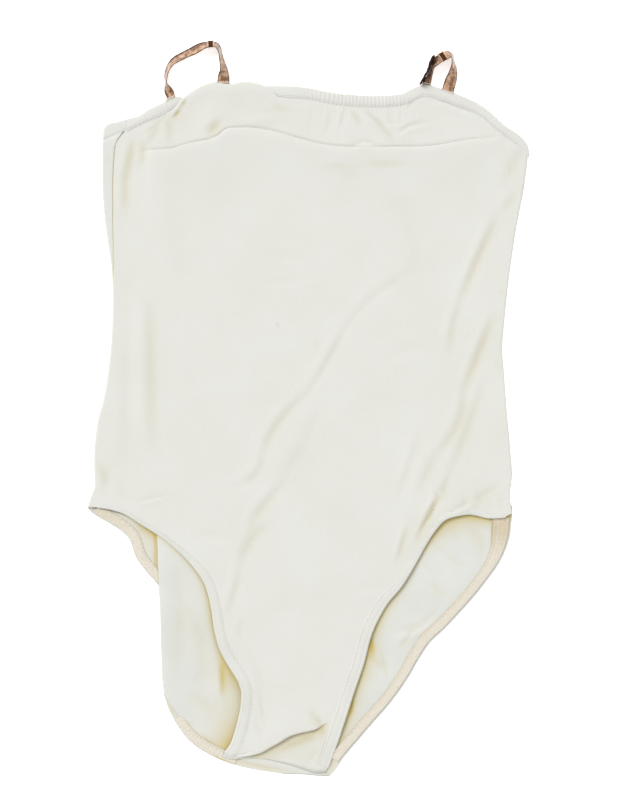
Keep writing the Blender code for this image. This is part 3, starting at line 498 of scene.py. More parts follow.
FRONT_LEG_LEFT = (  # x, y, hip to crotch
    (-187, -84), (-177, -84.3), (-160, -87.8), (-139.9, -99.4), (-123.2, -110.2),
    (-110.7, -120.6), (-97.2, -134.4), (-86.4, -151.3), (-81.4, -171), (-79.3, -185.8),
    (-75.5, -201.5), (-70, -213.5), (-63.5, -224), (-57.8, -234), (-55.8, -243),
    (-56.2, -251), (-58.7, -265), (-61.6, -275.5), (-65, -285), (-69.5, -291.5),
    (-73.4, -296),
)
FRONT_LEG_RIGHT = (  # x, y
    (173.5, -89.4), (165.5, -92.8), (154.5, -93.2), (137.5, -89.9), (125.2, -91.6),
    (116.2, -94.8), (108, -103.5), (99.5, -116.5), (92.2, -129.8), (79.1, -151.2),
    (65.8, -167.7), (53.4, -192.6), (46.4, -218.6), (39, -240), (32, -261.7),
    (25.2, -282.5), (15.5, -310),
)
RIDGE = (  # x, y of the ridge above the crotch, where the front folds down onto the back
    (-73.4, -295), (-64.6, -297), (-45, -293.3), (-28.1, -284.8), (-12.8, -276.3),
    (7.7, -271.2), (12.8, -268.5), (20, -265), (30.5, -264),
)
CROTCH_EDGE = (  # x, y of the front's bottom edge, below the ridge
    (-73.4, -296.4), (-64, -298.4), (-42.5, -297.8), (-21.3, -301.8), (-4.3, -307.2),
    (7.7, -310.6), (15.5, -310.5),
)
RIDGE_SHARP = (  # x, how sharply the ridge is folded, 0 to 1
    (-67, 0), (-60, 0.6), (-50, 1), (5, 1), (12, 0.4), (18, 0),
)
RIDGE_PROFILE = (  # step down the ridge, its place flat and folded in mm, its height folded, 0 to 1
    (0, 3, 3, 1), (0.2, 1.5, 0.6, 1), (0.35, 0.7, -0.9, 0.9), (0.5, 0, -1.4, 0.65),
    (0.62, -0.7, -0.6, 0.35), (0.74, -1.4, 0.2, 0.12), (0.87, -2.2, -0.6, 0), (1, -3.2, -3.2, 0),
)
LIFTS = (  # x, y, how far the front stands off the back there, and over what distance
    (102, -122, -0.8, 20), (66, -172, -0.8, 24), (46, -222, -0.7, 20),
    (-58, -242, 1.6, 20), (-74, -205, 0.8, 18), (148, -90, -0.8, 18),
    (-150, -92, 0.3, 14), (-70, 262, 0.9, 14), (-45, 268, 0.6, 12),
    (-20, -276, 0.8, 20),
)
# The last column of each crease is how much painted shade lies in its dip.
FRONT_CREASES = (  # x, y at the start, middle and end, depth, half width, warmth
    # above the chest fold, left
    (-147.9, 229.5, -151.3, 210.8, -154.7, 192.1, 0.5, 2.4, 0.40),
    (-140.3, 227.8, -140.3, 217.6, -141.1, 205.7, 0.4, 1.8, 0.35),
    (-124.1, 246.5, -130.9, 231.2, -135.2, 222.7, 0.6, 2.2, 0.12),
    (-118.2, 246.5, -117.3, 235.5, -117.3, 224.4, 0.45, 1.8, 0.22),
    (-103.6, 262, -105.5, 258.5, -107.2, 255.6, 0.9, 0.9, 0.75),
    (-108, 254, -111, 250, -114.8, 246, 0.9, 1, 0.85),
    (-103, 263.5, -108, 255, -115.5, 246, 0.45, 2.4, 0.05),
    (-73.1, 243.1, -79.1, 238, -84.2, 230.4, 0.85, 3.4, 0.35),
    (-66, 249, -45, 243, -15, 252, -0.45, 4, 0),
    (-31, 260, -24, 254, -12, 252, 0.3, 2, 0.1),
    (-132, 241, -134, 236, -139, 231, 0.3, 1.6, 0.1),
    # above the chest fold, right
    (47.6, 251.6, 61.2, 240.6, 76.5, 222.9, 1.5, 1.4, 0.24),
    (61.2, 243.1, 70.6, 241.4, 80.8, 242.3, 0.35, 1.6, 0.05),
    (76.5, 232.9, 88.4, 239.7, 103.7, 242.3, 1.1, 1.5, 0.16),
    (89.3, 264, 87.6, 260, 85, 254, 0.5, 1.4, 0.25),
    (103.7, 265, 120.7, 258, 137.7, 250, 0.6, 1.8, 0),
    (105.4, 259.6, 112.2, 259, 117.3, 260.5, 0.3, 1.5, 0),
    (38, 222.8, 48, 225.2, 58, 222.8, 0.9, 1.9, 0),
    (18.7, 251.6, 17.9, 243.1, 15.3, 232.9, 0.32, 1.5, 0.08),
    (31.5, 254, 29.8, 246.5, 27.2, 236.3, 0.38, 1.5, 0.1),
    (37.4, 252.3, 40.8, 246.5, 45.9, 239.7, 0.38, 1.6, 0.3),
    (68, 252.3, 69.7, 246.5, 73.1, 239.7, 0.32, 1.4, 0.08),
    (5, 255, 3, 248, 4, 240, 0.28, 1.5, 0),
    (80, 254, 79, 248, 80, 241, 0.28, 1.4, 0),
    (185.3, 221, 175.1, 207.4, 168.3, 190.4, 0.5, 3.4, 0.15),
    (177.7, 183.6, 171.7, 175.1, 165.8, 166.6, 0.35, 3, 0.15),
    # down the body, left and middle
    (-154.7, 202, -155.5, 182.8, -154.7, 166.6, 0.3, 2.4, 0.35),
    (-116.6, 182.8, -110, 143.7, -103.7, 91.1, 0.35, 7, 0.05),
    (-133, 94.4, -133, 39, -131.3, -36.4, 0.35, 3.5, 0.25),
    (-143, 110, -143.5, 50, -142, -26, -0.35, 5, 0),
    (-152.6, 78, -153.5, 6, -154.3, -52.7, 0.28, 5, 0.08),
    (92.7, 117.3, 56.6, 94.4, 30.4, 65, 0.4, 3.2, 0.06),
    (34, 70, 17.4, 39.1, -2.2, 9.4, 0.6, 3, 0.10),
    (2, 14, -25.1, -13.6, -38.3, -42.5, 0.7, 3, 0.2),
    (-36, -38, -42, -54, -55, -66, 0.5, 3, 0.15),
    (-41.7, -56, -54, -62, -67.6, -69, 0.3, 2.2, 0.08),
    (10.9, 6.1, -2.2, -33, -25, -65.5, 0.45, 6, 0.06),
    (-15.3, -59.5, -38.3, -85, -51, -108, 0.6, 3.2, 0.18),
    (-31.4, -97.4, -47.9, -112.2, -57, -134.3, 0.65, 2.8, 0.22),
    (-55, -128, -61.7, -156.4, -69.1, -175.1, 0.6, 2.6, 0.18),
    (-53.5, -180, -57, -188, -60.8, -195.5, 0.4, 2.2, 0.1),
    (-54.6, 133.6, -28, 130, -2.6, 127, 0.28, 3, 0.06),
    (-45, 104.6, -14, 108, 17.4, 114, 0.28, 2.4, 0.04),
    (62.9, 32.3, 85.9, 50, 108.8, 42.1, 0.3, 3.2, 0.04),
    (79.5, 172.9, 92.7, 136.9, 96, 117.3, 0.3, 5, 0.04),
    # down the body, right
    (161.2, 163.2, 144.9, 127.1, 128.5, 87.9, 0.9, 2.6, 0.35),
    (130.5, 92, 124, 70, 120.4, 46, 0.6, 2.6, 0.2),
    (158, 78.2, 144.9, 45.4, 131.8, 12.8, 0.9, 2.6, 0.38),
    (133, 16, 128, -13.4, 109, -39.6, 0.75, 2.8, 0.28),
    (112, -36, 102, -54, 92.7, -75.7, 0.5, 2.8, 0.15),
    (151.3, 25.8, 135.2, -20, 118.7, -59.2, 0.6, 2.6, 0.18),
    (121, -55, 109, -80, 96, -104, 0.9, 1.7, 0.4),
    (108, -78, 102, -92, 91, -114, 0.6, 1.5, 0.35),
    (99.1, -13.6, 86, -50, 76.5, -79, 0.42, 2.4, 0.06),
    (85, -100.3, 79.9, -117.3, 76.5, -130.9, 0.5, 1.8, 0.3),
    (27.2, -153, 44.2, -155, 61.2, -153, 0.32, 2.6, 0.03),
    # at the sides and hips
    (160.5, 101, 164, 98, 167, 94, 0.4, 1.6, 0.1),
    (158, 39, 162, 35, 166, 30.5, 0.4, 1.6, 0.1),
    (122, -88.4, 144.9, -75.7, 167.5, -62.5, 1.2, 1.6, 0.24),
    (146.2, -84, 151.3, -76.5, 159.8, -70.4, 0.9, 1.3, 0.2),
    (161, -75, 165, -80.5, 168.5, -86, 0.7, 1.2, 0.1),
    (-178, -49, -172, -58, -174, -70, 0.35, 2, 0.3),
    (-143.9, -79.9, -132.9, -77.1, -119.9, -74.3, 0.4, 1.5, 0.06),
    (-94, -108, -80, -109, -64, -112, 0.35, 3.2, 0.05),
    (-160, -60, -157, -72, -150, -80, 0.3, 2.6, 0.05),
    # towards the crotch
    (0, -258, 8, -266, 15, -280, 0.5, 2.2, 0.35),
    (-40, -236, -38, -258, -33, -272, 0.45, 2.2, 0.08),
    (-44, -262, -42, -272, -38, -284, 0.4, 1.6, 0.08),
    (-30, -248, -24, -238, 8, -243, 0.35, 2.4, 0.08),
    (-52, -206, -42, -222, -36, -240, 0.35, 3.4, 0.05),
    (-24, -290, -8, -284, 8, -276, 0.25, 1.6, 0.35),
    (-10, -296, 0, -288, 10, -284, -0.25, 1.8, 0),
    (-2, -302, 4, -294, 12, -290, 0.25, 1.4, 0.15),
)
STAINS = (  # x, y, half width, half height, strength of faint beige marks
    (66, 207.5, 20, 2.6, 0.22), (24, 205.5, 12, 3, 0.16), (33, 200, 7, 4, 0.12),
    (-27, 253, 12, 3, 0.12), (-118, 244, 22, 10, 0.10), (98, -102, 12, 14, 0.12),
    (78, 176, 22, 9, 0.07), (-26.4, 71.4, 0.9, 0.9, 0.8), (-109.7, 38.3, 1, 1, 0.3),
)
GATHER_PITCH = 3.2
GATHERS = (  # x, depth of the puckers under the casing
    (-160, 0.03), (-150, 0.14), (-120, 0.17), (-112, 0), (-20, 0), (0, 0.04),
    (16, 0.24), (50, 0.30), (84, 0.24), (96, 0.03), (112, 0), (187, 0),
)


def lapped(x, y):
    """How far below the chest fold a point is, in mm; negative above it."""
    return read(CHEST, x) - y


def chest_fall(x, y):
    """Height of the lap below the chest fold: its crest, falling away over CHEST_FADE."""
    below = lapped(x, y)
    crest = CHEST_PROFILE[-1][3] * read(CHEST, x, 2)
    return crest * np.exp(-((np.maximum(below - 3.6, 0.0) / CHEST_FADE) ** 1.3)) * (below > 3.59)


def front_relief(x, y):
    """Height of the front over its flat level, and its painted shade in the creases and faint stains.

    The sum of the chest fold's slow fall below it, the places where the front stands off the back,
    the soft creases, and puckers that run down from the gathers and die out in 8 mm.
    """
    below = lapped(x, y)
    height = chest_fall(x, y)
    for cx, cy, rise, spread in LIFTS:
        height = height + rise * np.exp(-((x - cx) ** 2 + (y - cy) ** 2) / spread**2)
    soft, shade_and_marks = creases(FRONT_CREASES, x, y)
    hang = read(FRONT_TOP, x) - y
    pucker = read(GATHERS, x) * np.cos(2 * math.pi * x / GATHER_PITCH + 0.8 * np.sin(x / 7.0))
    height = height + soft + pucker * np.exp(-np.maximum(hang, 0.0) / 8.0)
    for cx, cy, wide, high, tone in STAINS:
        shade_and_marks = shade_and_marks + tone * np.exp(-(((x - cx) / wide) ** 2) - ((y - cy) / high) ** 2)
    return height, np.clip(shade_and_marks, 0.0, 1.0)


def crotch_seat(x):
    """Lowest level of the front's wall at the crotch: on the back, or on the elastic's end."""
    return Z_BACK + 0.55 + 1.15 * ease((-54.0 - x) / 8.0)


def crotch_fall(x, y):
    """1 above the ridge at the crotch, easing to 0 at the panel's bottom edge."""
    start = read(RIDGE, x) + 3.0
    return 1 - ease((start - y) / (start - read(CROTCH_EDGE, x)))


def share_at(table, y):
    """Share of a leg edge's length at which its lower part passes height y."""
    rows = np.asarray(table, float)
    place = run_of(rows)
    return np.interp(-y, -rows[8:, 1], place[8:] / place[-1])


def front_panel_grid():
    """The front: rows from the neckline down to the crotch, columns from seam to seam or from leg
    edge to leg edge. Upper rows follow the neckline and the chest fold, lower ones run straight
    between the leg edges. Returns points and painted shade and faint stains per point."""
    top_t = np.concatenate(([0.0, 0.006, 0.014, 0.024, 0.036, 0.05, 0.07], np.linspace(0.1, 0.97, 18)))
    step = np.linspace(0.0, 1.0, 17)[1:]
    lower = np.array([5.0, 7.0, 9.5, 12.0, 14.5])
    settle = np.linspace(0.0, 1.0, 12)[1:]
    level = np.concatenate((np.arange(173.0, 4.0, -3.1), np.linspace(2.0, -81.0, 26)))
    legs = np.linspace(0.0, 1.0, 66) ** 1.12
    ridge_step = np.linspace(0.0, 1.0, 13)[1:]
    facet = np.linspace(0.0, 1.0, 9)[1:]
    n = [len(top_t), len(step) + 1, len(lower), len(settle), len(level), len(legs), len(ridge_step),
         len(facet)]
    total = sum(n)
    mark = np.cumsum([0] + n)

    # How much of each row is the neckline, the chest fold and a level line
    to_chest = np.ones(total)
    to_chest[:mark[1]] = top_t
    fold_step = np.zeros(total)
    fold_step[mark[1]:mark[2]] = np.concatenate(([0.0], step))
    fold_step[mark[2]:] = 1.0
    extra = np.zeros(total)
    extra[mark[2]:mark[3]] = lower
    extra[mark[3]:] = lower[-1]
    to_level = np.zeros(total)
    to_level[mark[3]:mark[4]] = settle
    to_level[mark[4]:] = 1.0
    line_y = np.full(total, 176.0)
    line_y[mark[4]:mark[5]] = level
    bow = np.zeros(total)
    bow[mark[4]:mark[5]] = 24.0 * ease((5.0 - level) / 90.0)
    bow[mark[5]:mark[6]] = 24.0 * np.maximum(0.0, 1 - legs / 0.45) ** 2
    left_end = share_at(FRONT_LEG_LEFT, -294.6)
    right_end = share_at(FRONT_LEG_RIGHT, -261.0)
    right_foot = share_at(FRONT_LEG_RIGHT, -267.2)
    edge_left = along(FRONT_LEG_LEFT, np.concatenate((
        legs * left_end, left_end + (1 - left_end) * 0.5 * ridge_step,
        1 - (1 - left_end) * 0.5 * (1 - facet))))
    edge_right = along(FRONT_LEG_RIGHT, np.concatenate((
        legs * right_end, right_end + (right_foot - right_end) * ridge_step,
        right_foot + (1 - right_foot) * facet)))

    def upper(x, r):
        """y of the rows above the legs at x; r holds the rows' shares as columns."""
        fold = read(CHEST_PROFILE, r["fold"])
        folded = read(CHEST_PROFILE, r["fold"], 2)
        much = read(CHEST, x, 2)
        chest = read(CHEST, x) + fold * (1 - much) + folded * much - np.maximum(r["extra"] - 3.6, 0.0) * (
            r["extra"] > 0)
        start = read(CHEST, x) + CHEST_PROFILE[0][1]
        above = read(FRONT_TOP, x) * (1 - r["chest"]) + start * r["chest"]
        y = np.where(r["chest"] < 1, above, chest)
        return y * (1 - r["level"]) + r["line"] * r["level"]

    rows = {"fold": fold_step, "extra": extra, "chest": to_chest, "level": to_level, "line": line_y}
    rows = {k: v[:, None] for k, v in rows.items()}
    y_left = np.full((total, 1), 220.0)
    for _ in range(8):
        seam_x, _ = turn(read(SIDE_LEFT, y_left), 1, 0.0, read(SEAM_OFFSET, y_left) + SEAM_HALF)
        y_left = upper(seam_x, rows)
    y_right = upper(np.full((total, 1), 184.5), rows)
    x_left = read(SIDE_LEFT, y_left)
    x_right = read(SIDE_RIGHT, y_right)
    free = np.zeros((total, 1))
    free[mark[4]:mark[5], 0] = 0.7 * ease((-62.0 - level) / 20.0)
    free[mark[5]:, 0] = 1.0
    free[mark[5]:mark[6], 0] = np.minimum(1.0, 0.7 + legs * 12)
    x_left[mark[5]:, 0], y_left[mark[5]:, 0] = edge_left.T
    x_right[mark[5]:, 0], y_right[mark[5]:, 0] = edge_right.T
    start = math.pi / 2 * free
    seam = read(SEAM_OFFSET, y_left) * (1 - free)
    steps = np.array([0.0, 0.4, 0.8, 1.2, 1.6, 2.0, 2.5, 3.2, 4.4, 6.2, 8.4])[None, :]
    lx, lz = turn(x_left, 1, start, np.maximum(seam + SEAM_HALF, QUARTER * free) + steps)
    rx, rz = turn(x_right, -1, start, np.maximum(SEAM_HALF, QUARTER * free) + steps[:, ::-1])
    density = np.interp(np.linspace(0, 1, 500), [0, 0.46, 0.5, 0.73, 0.77, 1], [1, 1, 2.3, 2.3, 1, 1])
    share = np.concatenate(([0.0], np.cumsum(density)))
    share = np.interp(np.linspace(0, share[-1], 172), share, np.linspace(0, 1, 501))[None, 1:-1]
    x = np.concatenate((lx, lx[:, -1:] + (rx[:, :1] - lx[:, -1:]) * share, rx), axis=1)
    z = np.concatenate((lz, np.full((total, share.shape[1]), Z_FRONT), rz), axis=1)
    part = (x - x_left) / (x_right - x_left)
    line = y_left + (y_right - y_left) * part + bow[:, None] * np.sin(math.pi * part)
    y = np.where(np.arange(total)[:, None] < mark[4], upper(x, rows), line)

    # The rows that come down to the ridge, over it and on to the bottom edge
    to_ridge = np.ones((total, 1))
    to_ridge[:mark[6], 0] = 0.0
    to_ridge[mark[5]:mark[6], 0] = ease((legs - 0.55) / 0.45)
    ridge_at = np.zeros((total, 1))
    ridge_at[mark[6]:, 0] = np.concatenate((ridge_step, np.ones(len(facet))))
    down = np.zeros((total, 1))
    down[mark[7]:, 0] = facet

    def lower_row(x):
        """y of the rows at the crotch at x, and how far they have come down onto the back."""
        ridge, bottom, sharp = read(RIDGE, x), read(CROTCH_EDGE, x), read(RIDGE_SHARP, x)
        place = read(RIDGE_PROFILE, ridge_at) * (1 - sharp) + read(RIDGE_PROFILE, ridge_at, 2) * sharp
        fold_y = ridge + place * np.clip((ridge - bottom) / 6.0, 0.0, 1.0)
        return fold_y * (1 - down) + bottom * down, sharp

    y_fold, sharp = lower_row(x)
    y_fold = y_fold + (y_left - lower_row(x_left)[0]) * (1 - part) ** 8
    y_fold = y_fold + (y_right - lower_row(x_right)[0]) * part**8
    y = y + to_ridge * (y_fold - y)

    height, shade_and_marks = front_relief(x, y)
    in_fold = (np.arange(total) >= mark[1]) & (np.arange(total) < mark[2])
    folded = read(CHEST_PROFILE, fold_step[:, None], 3) * read(CHEST, x, 2)
    height = height + np.where(in_fold[:, None], folded - chest_fall(x, y), 0.0)
    on_top = ease(((z - Z_BACK) / (2 * ROLL)) * 2 - 1)
    z = z + height * on_top
    # The rolled top: a quarter circle down to the edge, with the cloth behind it puffed up
    over = read(ROLLED, x)
    hang = np.maximum(read(FRONT_TOP, x) - y, 0.0)
    radius = 1.7
    drop = radius - np.sqrt(np.maximum(radius**2 - np.maximum(radius - hang, 0.0) ** 2, 0.0))
    z = z + over * (0.7 * np.exp(-((hang - 5.0) / 6.0) ** 2) - drop)
    # The ridge at the crotch, and the facet below it that comes down to the back
    fall = crotch_fall(x, y)
    folded = fall * (1 - sharp) + read(RIDGE_PROFILE, ridge_at, 3) * sharp
    fall = np.where(ridge_at > 0, folded, fall)
    z = crotch_seat(x) + (z - crotch_seat(x)) * fall
    # Painted shade on the facet under the crotch ridge, fading down from it.
    beneath = np.maximum(read(RIDGE, x) - y - 1.0, 0.0)
    window = ease((x + 56.0) / 12.0) * ease((20.0 - x) / 9.0)
    shade_and_marks = shade_and_marks + 0.85 * np.exp(-beneath / 8.0) * window * ease((ridge_at - 0.45) / 0.25)
    return np.stack((x, y, z), -1), np.clip(shade_and_marks, 0.0, 1.0)


# The third colour is the warm tint of painted shade, also used for the front's faint stains.
cream_front = jersey("cream nylon jersey, front", "DBDBD5", "D8D8D0", "C3B78C")
front_points, front_shade_and_marks = front_panel_grid()
front = cloth("front_panel_jersey", front_points, cream_front, front_shade_and_marks)
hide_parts("front_panel")

# The hems of the front's leg edges.
# The front's own jersey, turned under over elastic and stitched flat with a small zigzag. The hem
# is slightly raised and puckered, and its outer side turns over the panel's edge.

HEM_WIDTH = 9.2                # as HEM_ACROSS draws it, mm
HEM_RIM = 0.7                  # its rounded rim, which keeps its width where the hem is narrower
ZIGZAG_LENGTH = 1.9            # length of one zigzag stitch, mm
HEM_ACROSS = (  # mm in from the panel's edge, height over the panel, half thickness above, below
    (-0.55, -0.75, 0.02, 0.02), (-0.60, -0.35, 0.22, 0.10), (-0.40, 0.05, 0.34, 0.12),
    (0, 0.34, 0.40, 0.10), (0.7, 0.42, 0.42, 0.10), (1.5, 0.42, 0.34, 0.10),
    (2, 0.40, 0.14, 0.08), (2.5, 0.42, 0.32, 0.10),
    (3.6, 0.40, 0.30, 0.10), (5.2, 0.38, 0.28, 0.10), (6.6, 0.34, 0.24, 0.10),
    (7.4, 0.28, 0.14, 0.08), (8, 0.28, 0.18, 0.08), (8.7, 0.20, 0.14, 0.08),
    (9.2, 0.10, 0.02, 0.02),
)


def band(name, middle, above, below, material, shade_and_marks=0.0):
    """A flat closed tube of cloth round a middle surface, with rows along it and columns across.

    Its two faces lie above and below the middle surface along its normal, by the distances given
    in mm, and meet at both long edges; at each end they close over the last millimetre.
    """
    rows, cols = middle.shape[:2]
    above = np.broadcast_to(above, (rows, cols)).copy()
    below = np.broadcast_to(below, (rows, cols)).copy()
    normal = np.cross(np.gradient(middle, axis=0), np.gradient(middle, axis=1))
    normal /= np.linalg.norm(normal, axis=-1, keepdims=True) + 1e-9
    tone = np.broadcast_to(shade_and_marks, (rows, cols))
    if normal[..., 2].mean() < 0:
        middle, normal = middle[:, ::-1], -normal[:, ::-1]
        above, below, tone = above[:, ::-1], below[:, ::-1], tone[:, ::-1]
    run = np.linalg.norm(np.diff(middle[:, cols // 2], axis=0), axis=-1)
    run = np.concatenate(([0.0], np.cumsum(run)))
    pinch = np.sqrt(np.clip(np.minimum(run, run[-1] - run), 0.0, 1.0))[:, None, None]
    upper = middle + normal * above[..., None] * pinch
    lower = middle - normal * below[..., None] * pinch
    ring = np.concatenate((upper, lower[:, -2:0:-1]), axis=1)
    width = np.linalg.norm(np.diff(middle, axis=1), axis=-1).mean(axis=0)
    width = np.concatenate(([0.0], np.cumsum(width)))
    across = np.concatenate((width, width[-2:0:-1]))
    uv = np.stack(np.broadcast_arrays(across[None, :], run[:, None]), -1)
    faces = grid_faces(rows, ring.shape[1], ring=True)
    tone = np.concatenate((tone, tone[:, -2:0:-1]), axis=1)
    return lay_mesh(name, ring, faces, material, uv, tone)


def heading(path):
    """Unit vectors along a path of points."""
    ahead = np.gradient(path, axis=0)
    return ahead / np.linalg.norm(ahead, axis=1, keepdims=True)


def beside_path(path, offsets):
    """Points beside a path at each offset, mm to its right, as rows along it and columns across."""
    ahead = heading(path)
    right = np.stack((ahead[:, 1], -ahead[:, 0]), -1)
    return path[:, None, :] + right[:, None, :] * np.atleast_2d(offsets)[..., None]


def front_surface(x, y):
    """Middle of the front's wall where it lies flat between its leg edges."""
    height, _ = front_relief(x, y)
    z = Z_FRONT + height
    return crotch_seat(x) + (z - crotch_seat(x)) * crotch_fall(x, y)


def stitches(name, points, ahead, length, width, material):
    """Stitches as long flat lozenges: one at each point, along the direction given there, in mm."""
    ahead = ahead / np.linalg.norm(ahead, axis=1, keepdims=True)
    side = np.stack((-ahead[:, 1], ahead[:, 0], np.zeros(len(ahead))), -1)
    side /= np.linalg.norm(side, axis=1, keepdims=True)
    up = np.cross(ahead, side)
    corners = ((-0.5, 0.0, -0.1), (-0.3, -0.5, 0.3), (-0.3, 0.5, 0.3), (0.3, -0.5, 0.3),
               (0.3, 0.5, 0.3), (0.5, 0.0, -0.1))
    cloud = np.stack([points + ahead * a * length + side * b * width + up * c * width
                      for a, b, c in corners], axis=1)
    tris = np.array([(0, 1, 2), (1, 3, 2), (2, 3, 4), (3, 5, 4),
                     (0, 3, 1), (0, 5, 3), (0, 2, 4), (0, 4, 5)])
    faces = (np.arange(len(points))[:, None, None] * 6 + tris[None]).reshape(-1, 3)
    return lay_mesh(name, cloud, faces, material)


def zigzag(name, row, length, pitch, lean, skip, width):
    """Zigzag stitches of cream thread along a line of points, each leaning the other way.

    length is the line's in mm, pitch how far apart they are, lean their slope across the line, and
    skip how many points are left bare at both ends.
    """
    step = max(1, int(round(len(row) * pitch / length)))
    ahead = np.gradient(row, axis=0)
    way = np.where((np.arange(len(row)) // step) % 2 == 0, 1, -1)[:, None]
    ahead[:, :2] += lean * np.stack((-ahead[:, 1], ahead[:, 0]), -1) * way
    chosen = slice(skip, -skip, step)
    stitches(name, row[chosen], ahead[chosen], ZIGZAG_LENGTH, width, cream_thread)


def plain_thread(name, light):
    """Polyester sewing thread: pale, spun, with a soft dull gloss."""
    material, shader = finish_of(name, 0.6, Sheen_Weight=0.2)
    shader.inputs["Base Color"].default_value = srgb(light)
    return material


cream_hem = jersey("cream nylon jersey, turned and stitched", "DADAD4", "D5D5CE", "C3B78C")
cream_thread = plain_thread("cream polyester thread", "DEDDD6")


def leg_hem(name, table, widths, side, first, last):
    """One hem along the panel's leg edge, between two shares of it, with its row of stitches.

    side is 1 where the panel lies to the path's right. The pucker is a wave along the hem, 2.9 mm
    long, whose phase drifts, strongest at the stitches.
    """
    across = np.asarray(HEM_ACROSS)
    share = np.linspace(first, last, 330)
    rows = along(table, share)
    fit = read(widths, share)[:, None]
    past_rim = across[:, 0] - HEM_RIM
    narrowed = HEM_RIM + past_rim * (fit - HEM_RIM) / (HEM_WIDTH - HEM_RIM)
    into = np.where(past_rim > 0, narrowed, across[:, 0])
    xy = beside_path(rows, side * into)
    mm = run_of(rows)[:, None]
    base = beside_path(rows, side * np.maximum(into, 0.3))
    z = front_surface(base[..., 0], base[..., 1]) + across[:, 1]
    wave = np.cos(2 * math.pi * mm / 2.9 + 1.3 * np.sin(mm / 9.0) + 0.7 * np.sin(mm / 4.1))
    above = across[:, 2] * (1 + 0.22 * wave * (across[:, 0] > 0.5) * (across[:, 0] < 9.0))
    xy = xy + (0.10 * wave * (across[:, 0] < 0.5))[..., None] * np.sign(xy[:, :1] - xy[:, 3:4])
    hem = band(name, np.concatenate((xy, z[..., None]), -1), above, across[:, 3], cream_hem)
    row = np.concatenate((xy[:, 11], z[:, 11, None] + 0.2), -1)
    zigzag(name + "_stitches", row, mm[-1, 0], 2.5, 0.5, 2, 0.34)
    return hem


# Share of each hem's path, and how wide it is there, mm
HEM_LEFT = ((0.0, 3.2), (0.28, 3.6), (0.42, 7.4), (0.6, 8.4), (0.8, 9.2), (1.0, 9.2))
HEM_RIGHT = ((0.0, 4.2), (0.16, 4.0), (0.24, 3.0), (0.36, 4.0), (0.5, 8.8), (0.7, 9.8), (1.0, 9.8))
left_hem = leg_hem("hem_left_leg", FRONT_LEG_LEFT, HEM_LEFT, -1, 0.03, 0.985)
right_hem = leg_hem("hem_right_leg", FRONT_LEG_RIGHT, HEM_RIGHT, 1, 0.02, 0.985)

# The elastics of the back's leg edges.
# Knitted beige elastic, 8 mm wide, zigzagged to the inside of the back close to its edge. It
# shows where the leg openings show the back's inside, and runs on out of sight under the tuck.

ELASTIC_WIDTH = 8.4
ELASTIC_AT_HIP = (  # mm along the right opening's elastic, how much wider it lies there
    (0, 6.6), (12, 6.2), (24, 4.2), (34, 2), (44, 0.7), (58, -0.4), (400, -0.4),
)
ELASTIC_EVEN = ((0, 0), (400, 0))


def ribbed(name, light, deep, warm):
    """Knitted elastic: fine ribs along it and a mottled row of crossing stitches.

    Ribs are about 1.1 mm apart across the strip and the knit's rows 0.8 mm apart along it.
    """
    material, shader = finish_of(name, 0.78, Sheen_Weight=0.25, Sheen_Roughness=0.5)
    tree = material.node_tree
    uv = add(tree, "ShaderNodeUVMap", uv_map="cloth").outputs["UV"]
    ribs = add(tree, "ShaderNodeTexWave", {"Vector": uv, "Scale": 1.45, "Distortion": 7.0, "Detail": 2.0,
                                           "Detail Scale": 4.0}, wave_type="BANDS", bands_direction="X")
    rows = add(tree, "ShaderNodeTexWave", {"Vector": uv, "Scale": 2.0, "Distortion": 2.5, "Detail": 2.0,
                                           "Detail Scale": 4.0}, wave_type="BANDS", bands_direction="Y")
    mottle = add(tree, "ShaderNodeTexNoise", {"Vector": uv, "Scale": 11.0, "Detail": 4.0, "Roughness": 0.7})
    mixed = add(tree, "ShaderNodeMath", {0: ribs.outputs["Fac"], 1: rows.outputs["Fac"]},
                operation="MULTIPLY")
    both = add(tree, "ShaderNodeMath", {0: mixed.outputs[0], 1: 0.3, 2: mottle.outputs["Fac"]},
               operation="MULTIPLY_ADD").outputs[0]
    join(tree, shader, both, (0.42, 0.72), (deep, light, warm), both, 0.35, 0.0005)
    return material


# Its third colour is the tint of painted shade on the elastic.
beige_elastic = ribbed("beige knitted elastic", "E7E2D6", "CFC5B2", "AE9656")
EDGE_ROUND = np.array([0.0, 0.012, 0.04, 0.10, 0.2, 0.35, 0.5, 0.65, 0.8, 0.90, 0.96, 0.988, 1.0])
EDGE_FULL = np.sqrt(1 - np.abs(2 * EDGE_ROUND - 1) ** 6)
EDGE_SEWN = EDGE_FULL * np.clip(EDGE_ROUND / 0.22, 0.0, 1.0) ** 0.6   # tapered towards the first edge


